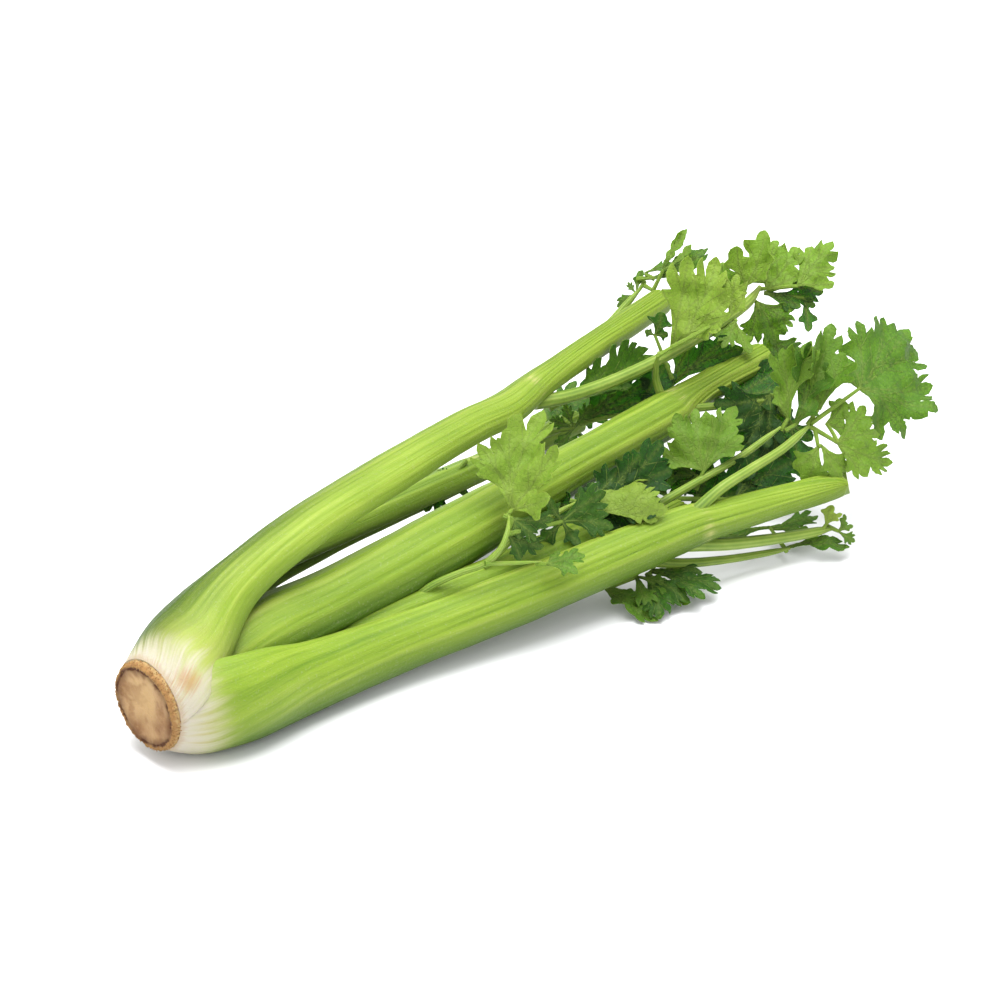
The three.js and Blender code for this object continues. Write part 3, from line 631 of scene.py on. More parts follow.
# %% Stations of the stalks
STALKS = {
    "stalk_top": [
        (3.5, 0, 25, 38.5, 20, 1.5, 1.5, 0, 1),
        (14, 0, 26, 49, 26, 5, 3.5, 0.35, 0.95),
        (32, 6, 36.5, 39, 22, 7, 5, 0.1, 1),
        (55, 8.5, 49.5, 24, 17, 8, 5, 0.15, 1),
        (90, 10, 60.5, 24.5, 14, 8, 5, 0.25, 1),
        (135, 12.5, 66, 23.5, 13.5, 8, 5, 0.2, 1),
        (190, 15, 71, 18.5, 12.5, 8, 5, 0.1, 1),
        (214, 15, 72.5, 16.5, 12.5, 9, 6, 0, 1),
        (237, 18.5, 76, 13.5, 12, 12, 9, 0, 1),
        (332, 32.5, 81.5, 12, 12, 13, 10, 0, 1),
    ],
    "stalk_front": [
        (3.5, 0, 25, 37, 19.5, 1.2, 1.2, -0.75, -0.7),
        (15, -1.5, 24, 46, 26, 5, 4, -0.8, -0.6),
        (38, -12, 21, 42, 22, 7, 5, -0.9, -0.3),
        (65, -16, 17.5, 31, 17, 8, 5, -1, 0),
        (107, -22.5, 17, 25, 14.5, 8, 5, -1, 0.2),
        (175, -40, 23, 22.5, 14, 8, 5, -1, 0.3),
        (250, -59, 31.5, 18.5, 13, 9, 6, -1, 0.4),
        (262, -63, 32, 15.5, 13.5, 12, 9, -1, 0.4),
        (326, -82, 33, 11.5, 12, 14, 10, -1, 0.4),
    ],
    "stalk_middle": [
        (20, -3, 26, 20, 9, 4, 3, -0.7, 0.7),
        (55, 0.5, 31, 29.5, 14.5, 6, 4, -0.6, 0.8),
        (96, -4, 35.5, 26.5, 14.5, 7, 5, -0.6, 0.8),
        (154, -8.5, 41, 27.5, 16, 8, 5, -0.5, 0.9),
        (244, -8, 48, 20, 14, 8, 5, -0.5, 0.9),
        (295, -8, 52, 20, 13.5, 9, 6, -0.5, 0.9),
        (305, -8, 54.5, 15.5, 12.5, 12, 9, -0.5, 0.9),
        (355, -10, 60.5, 13, 12, 13, 9, -0.5, 0.9),
    ],
    "stalk_back": [
        (4.5, 0, 25, 35.5, 19, 1.2, 1.2, 1, 0),
        (18, 2.5, 25.5, 42, 23, 5, 4, 1, 0.1),
        (50, 16, 27.5, 32, 17, 7, 4, 0.9, 0.4),
        (90, 30.5, 32.5, 25, 14, 8, 5, 0.8, 0.6),
        (134, 36, 31.5, 22, 13, 8, 5, 0.7, 0.7),
        (213, 36.5, 32, 20.5, 13, 9, 6, 0.6, 0.8),
        (224, 37.5, 33, 14, 12, 11, 8, 0.6, 0.8),
        (284, 38.5, 34, 12, 11, 11, 8, 0.6, 0.8),
    ],
    "stalk_under": [
        (16, 6, 15, 24, 11, 4, 3, 0.7, -0.7),
        (40, 10, 12, 24, 13, 6, 4, 0.5, -0.9),
        (80, 17, 11.5, 23, 13, 7, 4, 0.3, -0.9),
        (150, 25, 11.5, 21, 13, 8, 5, 0.2, -1),
        (235, 36, 11, 19, 12, 9, 6, 0.2, -1),
        (246, 38, 11, 15, 12, 11, 8, 0.2, -1),
        (310, 46, 10, 12, 11, 11, 8, 0.2, -1),
    ],
    "stalk_inner": [
        (22, -1, 20, 16, 8, 4, 3, -0.8, -0.3),
        (60, -6, 17, 20, 11, 6, 4, -0.8, 0.5),
        (110, -15.5, 22, 20, 11.5, 7, 4, -0.7, 0.7),
        (160, -26, 26, 19, 12, 7, 4, -0.7, 0.7),
        (225, -36, 28, 18, 12, 8, 5, -0.7, 0.7),
        (236, -41, 27, 11, 9.5, 9, 7, -0.7, 0.7),
        (262, -44.5, 29, 10, 9, 9, 7, -0.7, 0.7),
    ],
}
print("stalks:", ", ".join(STALKS))

# %% [markdown]
# ## A smooth curve through the stations
# A Catmull-Rom curve passes through every station, and centripetal spacing keeps it from looping where
# stations are close together. The sizes ride along with the places, so both change without a kink. Rings
# are then spread evenly along the curve.

# %% Curves
FINE_STEPS = 60


def through(rows, spots):
    """Rows of numbers on a smooth curve through the given rows, whose first three numbers are a place."""
    padded = np.vstack([2 * rows[0] - rows[1], rows, 2 * rows[-1] - rows[-2]])
    gaps = np.linalg.norm(np.diff(padded[:, :3], axis=0), axis=1) ** 0.5
    first = np.clip(np.floor(spots).astype(int), 0, len(rows) - 2)
    t = (spots - first)[:, None]
    a, b, c, d = (padded[first + shift] for shift in range(4))
    before, within, after = (gaps[first + shift][:, None] for shift in range(3))
    leave = ((b - a) / before - (c - a) / (before + within) + (c - b) / within) * within
    arrive = ((c - b) / within - (d - b) / (within + after) + (d - c) / after) * within
    return (
        b * (2 * t**3 - 3 * t**2 + 1) + leave * (t**3 - 2 * t**2 + t)
        + c * (3 * t**2 - 2 * t**3) + arrive * (t**3 - t**2)
    )


def evenly(rows, step):
    """Rows about a step apart along the curve, and how far along it each one is."""
    rows = np.asarray(rows, float)
    spots = np.linspace(0, len(rows) - 1, FINE_STEPS * len(rows))
    places = through(rows, spots)[:, :3]
    travelled = np.concatenate([[0], np.cumsum(np.linalg.norm(np.diff(places, axis=0), axis=1))])
    far = np.linspace(0, travelled[-1], max(4, round(travelled[-1] / step)) + 1)
    return through(rows, np.interp(far, travelled, spots)), far


def unit(vectors):
    return vectors / np.linalg.norm(vectors, axis=-1, keepdims=True)


print("a curve from 0 to 10:", evenly([(0, 0, 0), (5, 1, 0), (10, 0, 0)], 2.5)[1].round(1))

# %% [markdown]
# ## The channel's section
# The back is an arch, its wall has a middle line that follows part of an ellipse, and its edges are half
# circles. Towards the top of the bunch the groove closes and the stalk becomes a solid rod, so the groove
# is a lower arch between the edges, and it never turns inside out.

# %% Sections
ARCH_POINTS = 66            # points across the back, and as many across the groove
EDGE_POINTS = 8             # points round each of its edges
RING_STEP = 2.6             # mm between rings
GROOVE_LEAST = 0.05         # the groove's least half width, as a part of the stalk's width
GROOVE_ARCH = 0.3           # and its least height over its edges, mm
PAST_EDGE = 0.25            # how much further `across` counts round an edge
EDGE_SKIN = 0.3             # how much of the back's skin is left where the edge begins
SKIN_ENDS, SKIN_FADES = 1.02, 0.14      # where the skin of the back ends and over what width, across


def sections(wide, deep, wall, edge):
    """x and y of every ring's outline, with the numbers that its points carry."""
    wide, deep, wall, edge = (size[:, None] for size in (wide, deep, wall, edge))
    half, rise, rim = (wide - edge) / 2, deep - (wall + edge) / 2, edge / 2
    t = np.linspace(-1, 1, ARCH_POINTS)[None]
    angle = t * math.pi / 2
    normal = np.stack([rise * np.sin(angle), half * np.cos(angle)])
    normal /= np.linalg.norm(normal, axis=0)
    thick = (wall + (edge - wall) * t**2) / 2
    back = half * np.sin(angle) + normal[0] * thick, rise * np.cos(angle) + normal[1] * thick

    inner = np.maximum(half - rim, GROOVE_LEAST * wide)
    last = np.arccos(np.clip((inner - half) / rim, -1, 1))
    turn = np.arange(1, EDGE_POINTS + 1)[None] / (EDGE_POINTS + 1) * last
    right = half + rim * np.cos(turn), -rim * np.sin(turn)

    sill = -rim * np.sin(last)
    top = np.maximum(rise - wall / 2, sill + GROOVE_ARCH)
    groove = -inner * np.sin(angle), sill + (top - sill) * np.cos(angle)
    left = -right[0][:, ::-1], right[1][:, ::-1]
    outline = np.stack([np.hstack([b, r, g, f]) for b, r, g, f in zip(back, right, groove, left)], -1)

    beyond = 1 + PAST_EDGE * np.arange(1, EDGE_POINTS + 1) / EDGE_POINTS
    across = np.concatenate([t[0], beyond, -t[0], -beyond[::-1]])
    to_edge = np.clip((SKIN_ENDS - np.abs(t[0])) / SKIN_FADES, 0, 1)
    fade = EDGE_SKIN * np.linspace(1, 0, EDGE_POINTS)
    skin = np.concatenate([EDGE_SKIN + (1 - EDGE_SKIN) * to_edge, fade, 0 * t[0], fade[::-1]])
    return outline, across, skin


# %% [markdown]
# ## From rings to faces
# A stalk is a stack of rings with the same number of points in each, and so is the butt. Each point is
# joined to the next one in its ring and to the same ones in the ring after it.

# %% Ring faces
def ring_faces(rings, count):
    """Faces between rings of points that follow one another, with that many points in each ring."""
    faces = []
    for ring in range(rings - 1):
        for i in range(count):
            a, b = ring * count + i, ring * count + (i + 1) % count
            faces.append((a, b, b + count, a + count))
    return faces


print("faces between 3 rings of 4 points:", len(ring_faces(3, 4)))

# %% [markdown]
# ## One stalk
# The rings are set along the curve with their backs facing the way the stations say. Round the butt they
# are square to its axis, because a wide ring that tilted would fold back over the one before it, and
# further on they are square to the curve. A knuckle swells the section a little. The upper end closes
# with smaller and smaller rings, like a cut, and may be slanted. The lower end closes like a ladder,
# because there the section is a thin crescent round the butt.

# %% The stalk's surface
UPRIGHT_UNTIL = 8.0         # up to here a stalk's rings stay square to the butt's axis, mm
TURN_LENGTH = 70.0          # and over this length they turn square to the stalk
KNUCKLE_REACH = 2.2         # how far along the stalk a knuckle swells it, mm
KNUCKLE_SWELL = 0.02        # and by how much, as a part of its size
CUT_RINGS = (0.97, 0.8, 0.5, 0.2)       # the sizes of the rings that close the upper end
SLANT_REACH = 14.0          # how far from the end a slanted cut bends the rings, mm
RIBS_FROM, RIBS_GROW = 4, 60            # where ribs start and over what length they grow, mm
RIBS_AT_FIRST = 0.3                     # how much of their height they have where they start
SMOOTH_KNUCKLE = 0.55                   # how much of the ribs' height a knuckle takes away
UNDERSIDE_SHADE_FROM = 0.3                          # skin whose direction points up less than this gets painted shade
PAINTED_UNDERSIDE_SHADE = {               # how much painted shade, a deeper green, darkens a stalk's skin where it faces down
    "stalk_top": 0.7, "stalk_front": 0.8, "stalk_middle": 1.4, "stalk_back": 0.8, "stalk_under": 0.8,
    "stalk_inner": 0.9,
}


def stalk_surface(name, stations, knuckle, slant):
    """A stalk's smooth surface, with the numbers that its ribs and its finish follow."""
    rows, far = evenly(stations, RING_STEP)
    centres, sizes, facing = rows[:, :3], rows[:, 3:7], rows[:, 7:9]
    outline, across, skin = sections(*sizes.T)
    rings, count = outline.shape[:2]
    swell = np.exp(-((centres[:, 0] - knuckle) / KNUCKLE_REACH) ** 2)
    outline *= (1 + KNUCKLE_SWELL * swell)[:, None, None]

    turned = np.clip((centres[:, :1] - UPRIGHT_UNTIL) / TURN_LENGTH, 0, 1)
    along = unit(np.gradient(centres, axis=0))
    along = unit(along * turned + (1 - turned) * (1, 0, 0))
    out = np.column_stack([np.zeros(rings), facing])
    out = unit(out - along * (out * along).sum(1, keepdims=True))
    side = np.cross(along, out)
    points = (
        centres[:, None] + side[:, None] * outline[..., :1] + out[:, None] * outline[..., 1:]
    )
    lean = slant * np.clip(1 - (far[-1] - far) / SLANT_REACH, 0, 1) ** 2
    points += along[:, None] * (outline[..., 1:] - sizes[:, None, 1:2] / 2) * lean[:, None, None]

    spokes = unit(points - points.mean(1, keepdims=True))
    # Painted shade: how far each point's skin faces down, which the finish darkens.
    low = np.clip((UNDERSIDE_SHADE_FROM - spokes[..., 2]) * PAINTED_UNDERSIDE_SHADE[name], 0, 1)
    middle = points[-1].mean(0)
    caps = [middle + (points[-1] - middle) * part for part in CUT_RINGS]
    everything = np.vstack([points.reshape(-1, 3), *caps, middle[None]])

    faces = ring_faces(rings + len(CUT_RINGS), count)
    tip = len(everything) - 1
    faces += [(tip - count + i, tip - count + (i + 1) % count, tip) for i in range(count)]
    groove_start = ARCH_POINTS + EDGE_POINTS
    for i in range(ARCH_POINTS - 1):
        opposite = groove_start + ARCH_POINTS - 1 - i
        faces.append((i, opposite, opposite - 1, i + 1))
    faces.append(tuple(range(groove_start, ARCH_POINTS - 2, -1)))
    faces.append((0, *range(count - 1, groove_start + ARCH_POINTS - 2, -1)))

    def carried(values, on_cut=0.0):
        """A number for every point of the rings, and one value for all points of the cut."""
        cut_points = len(everything) - rings * count
        return np.append(np.broadcast_to(values, (rings, count)), np.full(cut_points, on_cut))

    distance = (far + stations[0][0]) * MM
    from_butt = np.clip((far + stations[0][0] - RIBS_FROM) / RIBS_GROW, 0, 1)
    ribbing = (RIBS_AT_FIRST + (1 - RIBS_AT_FIRST) * from_butt) * (1 - SMOOTH_KNUCKLE * swell)
    return mesh_of(name, place(everything), faces, {
        "along": carried(distance[:, None], distance[-1]), "across": carried(across),
        "skin": carried(skin, 1.0), "ribbing": carried(ribbing[:, None] * skin),
        "low": carried(low), "knuckle": carried(swell[:, None]), "cut": carried(0.0, 1.0),
    })


# %% [markdown]
# ## Ribs by recipe
# Celery's ribs run the whole length of the stalk, so they follow a rule: the number of ribs, their height
# and how wide the furrows are. The recipe moves each point out along its normal by a rounded wave of
# `across`, wanders a little, and gives every rib a height of its own. It also stores the wave as `rib`
# for the finish.

# %% The rib recipe
def rib_recipe():
    plan, geometry, given = recipe("ribs", {
        "Ribs": "Float", "Rib height": "Float", "Seed": "Float", "Skin": "Material",
    })
    along, across, ribbing = plan.carried("along"), plan.carried("across"), plan.carried("ribbing")
    place_on = plan.node("GeometryNodeInputPosition")
    wander = plan.clouds(plan.vector(along * 5.0, across * 3.5, given["Seed"]), 1.0, 2.0) - 0.5
    phase = (across * 0.5 + 0.5 + wander * 0.16) * given["Ribs"]
    wave = (phase * math.pi).sine().size()
    own = plan.node("ShaderNodeTexWhiteNoise", {"noise_dimensions": "1D"}, {
        "W": phase.floor() + given["Seed"] * 31.0,
    }, out="Value")
    rib = (wave ** 0.65) * (0.25 + own * 0.75)
    dents = plan.clouds(place_on, 34.0, 2.0) - 0.5
    pebbles = plan.clouds(place_on, 520.0, 2.0) - 0.5
    lift = rib * ribbing * given["Rib height"] + dents * 0.0011 * ribbing.rise(0.0, 0.3) + pebbles * 0.00012
    normal = plan.node("GeometryNodeInputNormal")
    ribbed = plan.stored(geometry, "rib", rib * ribbing.rise(0.0, 0.9))
    moves = {"Geometry": ribbed, "Offset": plan.scaled(normal, lift)}
    moved = plan.node("GeometryNodeSetPosition", {}, moves)
    return end_recipe(plan, moved, given["Skin"])


RIBS = rib_recipe()
print("rib recipe nodes:", len(RIBS.nodes))

# %% [markdown]
# ## The six stalks
# Each stalk has its own number of ribs, rib height, knuckle and cut, and its own way from cream to green.
# The three stalks at the back, below and inside are cream further up, and a deeper green after that, which
# is painted shade because they lie in the bunch's shade.

# %% Stalks
# ribs, rib height in mm, knuckle in mm, slant of the cut; where the cream ends and the green starts in m,
# how far they lean to one side, depth of the green, partly painted shade, contrast of the ribs, painted
# shade on the far side
STALK_WAYS = {
    "stalk_top": (13, 0.45, 232, 0.0, 0.0095, 0.036, 0.3, 0.0, 0.26, 1.0),
    "stalk_front": (13, 0.5, 256, -0.65, 0.014, 0.032, 0.3, -0.01, 0.26, 0.0),
    "stalk_middle": (10, 0.7, 300, 0.2, 0.004, 0.04, 0.0, -0.03, 0.34, 0.2),
    "stalk_back": (11, 0.6, 218, 0.0, 0.02, 0.07, 0.0, 0.12, 0.3, 0.2),
    "stalk_under": (11, 0.6, 240, 0.0, 0.02, 0.07, 0.0, 0.1, 0.3, 0.2),
    "stalk_inner": (10, 0.6, 230, 0.2, 0.02, 0.07, 0.0, 0.08, 0.3, 0.0),
}
SHARP_FROM = math.radians(50)

for number, (name, stations) in enumerate(STALKS.items()):
    ribs, height, knuckle, slant, *looks = STALK_WAYS[name]
    surface = stalk_surface(name, stations, knuckle, slant)
    skin = stalk_skin(name + "_skin", *looks)
    values = {"Ribs": float(ribs), "Rib height": height * MM, "Seed": float(number), "Skin": skin}
    mesh = cooked(surface, RIBS, values)
    mesh.set_sharp_from_angle(angle=SHARP_FROM)
    finished(name + "_flesh", mesh, name)
    print(name, "triangles:", triangles(mesh))

# %% [markdown]
# ## Leaf stems
# A leaf stem leaves its stalk at the knuckle and thins towards its leaves. Each row of the table is the
# thickness where it starts and where it ends, and the points that it runs through.

# %% Routes of the stems
STEMS = {
    "first_stem": (3.4, 1.9, [
        (124, -17, 28), (133, -24, 36), (142, -31, 41), (149, -38, 45), (155, -41, 51), (161, -39, 56),
        (168, -33, 58),
    ]),
    "first_branch": (1.9, 1.5, [(148, -39, 46), (160, -43, 43), (172, -48, 41)]),
    "top_stem_near": (6, 4.6, [
        (233, 16, 71), (246, 11, 70.5), (265, 7, 71), (287, 3, 73.5), (310, 0, 77), (337, 0, 80.5),
        (357, 1, 84), (368, 3, 88),
    ]),
    "top_stem_far": (5, 3.2, [(230, 24, 72), (262, 38, 66), (300, 44, 70), (332, 44, 86)]),
    "middle_stem_near": (4, 2.6, [(298, -12, 55), (311, -19, 54), (324, -27, 54), (338, -34, 54)]),
    "middle_stem_far": (3.6, 2.4, [(296, -2, 58), (294, 0, 68), (292, -3, 82)]),
    "front_stem_upper": (5.2, 3.4, [
        (252, -61, 38), (266, -63, 45), (284, -65, 49), (304, -66, 52), (322, -66, 57),
    ]),
    "front_stem_lower": (6.2, 4.2, [
        (242, -61, 27), (264, -68, 21), (284, -73, 17), (304, -79, 14.5), (320, -84, 13.5),
    ]),
    "inner_stem_upper": (4, 2.8, [
        (232, -43, 34), (248, -47, 40), (268, -50, 44), (290, -54, 49), (312, -58, 57),
    ]),
    "inner_stem_lower": (5.2, 2.6, [
        (228, -46, 20), (246, -56, 14), (268, -64, 10), (290, -70, 7), (303, -74, 6),
    ]),
    "inner_stem_side": (3.2, 2.2, [(158, -28, 36), (176, -31, 46), (196, -31, 47), (212, -30, 47)]),
    "back_stem": (5, 3, [(218, 36, 38), (240, 30, 44), (264, 23, 46)]),
    "under_stem": (6, 3.5, [(240, 46, 12), (264, 58, 13), (288, 66, 14)]),
}
print("stems:", len(STEMS))

# %% [markdown]
# ## A recipe that sweeps
# A stem is a path with a fluted profile swept along it, and a leaf's veins are the same thing, thinner and
# plain. The profile is a circle whose points wave in and out for the flutes. The path carries `thick`, its
# radius at each point, and Curve to Mesh scales the profile by it.

# %% The sweep recipe
def sweep_recipe():
    plan, geometry, given = recipe("sweep", {
        "Sides": "Int", "Flutes": "Float", "Flute depth": "Float", "Skin": "Material",
    })
    path = plan.node("GeometryNodeMeshToCurve", {}, {"Mesh": geometry})
    thick = plan.carried("thick")
    around = {"Resolution": given["Sides"], "Radius": 1.0}
    circle = plan.node("GeometryNodeCurvePrimitiveCircle", {}, around)
    turn = plan.node("GeometryNodeSplineParameter", out="Factor") * given["Flutes"] * (2 * math.pi)
    wave = turn.sine()
    place_on = plan.node("GeometryNodeInputPosition")
    fluted = plan.scaled(place_on, wave * given["Flute depth"])
    circle = plan.stored(circle, "rib", wave * 0.5 + 0.5)
    profile = plan.node("GeometryNodeSetPosition", {}, {"Geometry": circle, "Offset": fluted})
    sweep = {"Curve": path, "Profile Curve": profile, "Scale": thick, "Fill Caps": True}
    swept = plan.node("GeometryNodeCurveToMesh", {}, sweep)
    return end_recipe(plan, swept, given["Skin"])


SWEEP = sweep_recipe()


def path_mesh(name, paths):
    """Chains of edges in the frame. Each path is its points in table mm and the numbers they carry."""
    points, edges, numbers = [], [], {}
    for places, carried in paths:
        edges += [(len(points) + i, len(points) + i + 1) for i in range(len(places) - 1)]
        points += place(places).tolist()
        for label, values in carried.items():
            numbers.setdefault(label, []).extend(np.broadcast_to(values, len(places)).tolist())
    return mesh_of(name, points, [], numbers, edges)


print("sweep recipe nodes:", len(SWEEP.nodes))

# %% [markdown]
# ## The stems
# A swollen foot blends a stem into its stalk, then it thins evenly, and its tip narrows to a leaf stalk.

# %% Stems
STEM_SIDES = 40
FLUTES = 9.0
FLUTE_DEPTH = 0.03
STEM_STEP = 1.6
FOOT_SWELL = 0.15
FOOT_LENGTH = 9.0           # mm
TIP_LOSS = 0.55             # how much thinner a stem is at its tip, as a part of its thickness
TIP_LENGTH = 6.0            # mm

for name, (thick, thin, route) in STEMS.items():
    points, far = evenly(route, STEM_STEP)
    along = far / far[-1]
    radius = (thick + (thin - thick) * along) / 2 * (1 + FOOT_SWELL * np.exp(-(far / FOOT_LENGTH) ** 2))
    radius = radius * (1 - TIP_LOSS * np.exp(-((far[-1] - far) / TIP_LENGTH) ** 2))
    path = path_mesh(name, [(points, {"thick": radius * MM, "along": along})])
    values = {"Sides": STEM_SIDES, "Flutes": FLUTES, "Flute depth": FLUTE_DEPTH, "Skin": STEM}
    mesh = cooked(path, SWEEP, values)
    mesh.set_sharp_from_angle(angle=SHARP_FROM)
    finished(name + "_rib", mesh, name)
    print(name, "triangles:", triangles(mesh))

# %% [markdown]
# ## Leaves
# A leaf is a thin sheet cut into lobes, and some rows hold two or three such leaflets. Each row of the
# table gives, in millimetres and as parts of the leaf's length:
#
# - where the leaf starts, where its main tip is, and the way it faces
# - its width, how far it bows along its length, and how far it is cupped across
# - its tint, from 0 for old and dark to 1 for young and pale; low tints deep in the bunch are partly
#   painted shade
# - its leaflets: where the leaflet's veins meet, along the leaf and to its left, how high the leaflet
#   stands above the leaf's plane, and its lobes
#
# A lobe is the way from there to its tip, its half width as a part of its reach, and the number of teeth
# on each of its sides. The three leaves under the bunch are plain, so `five_lobes` works theirs out.

# %% Table of leaves
VIEWED = (-0.62, -0.62, 0.47)
UPWARD = (-0.2, -0.2, 0.95)
LEFTWARD = (-0.8, -0.4, 0.45)
RIGHTWARD = (-0.42, -0.78, 0.46)


def five_lobes(reach, width):
    """A plain leaflet: one lobe ahead, and a long and a short one on each side."""
    lobes = [(reach, 0, 0.23, 2)]
    for ahead, aside, half, teeth in ((0.7, 0.4, 0.23, 2), (0.2, 0.45, 0.27, 1)):
        x, y = round(ahead * reach, 1), round(aside * width, 1)
        lobes += [(x, y, half, teeth), (x, -y, half, teeth)]
    return lobes


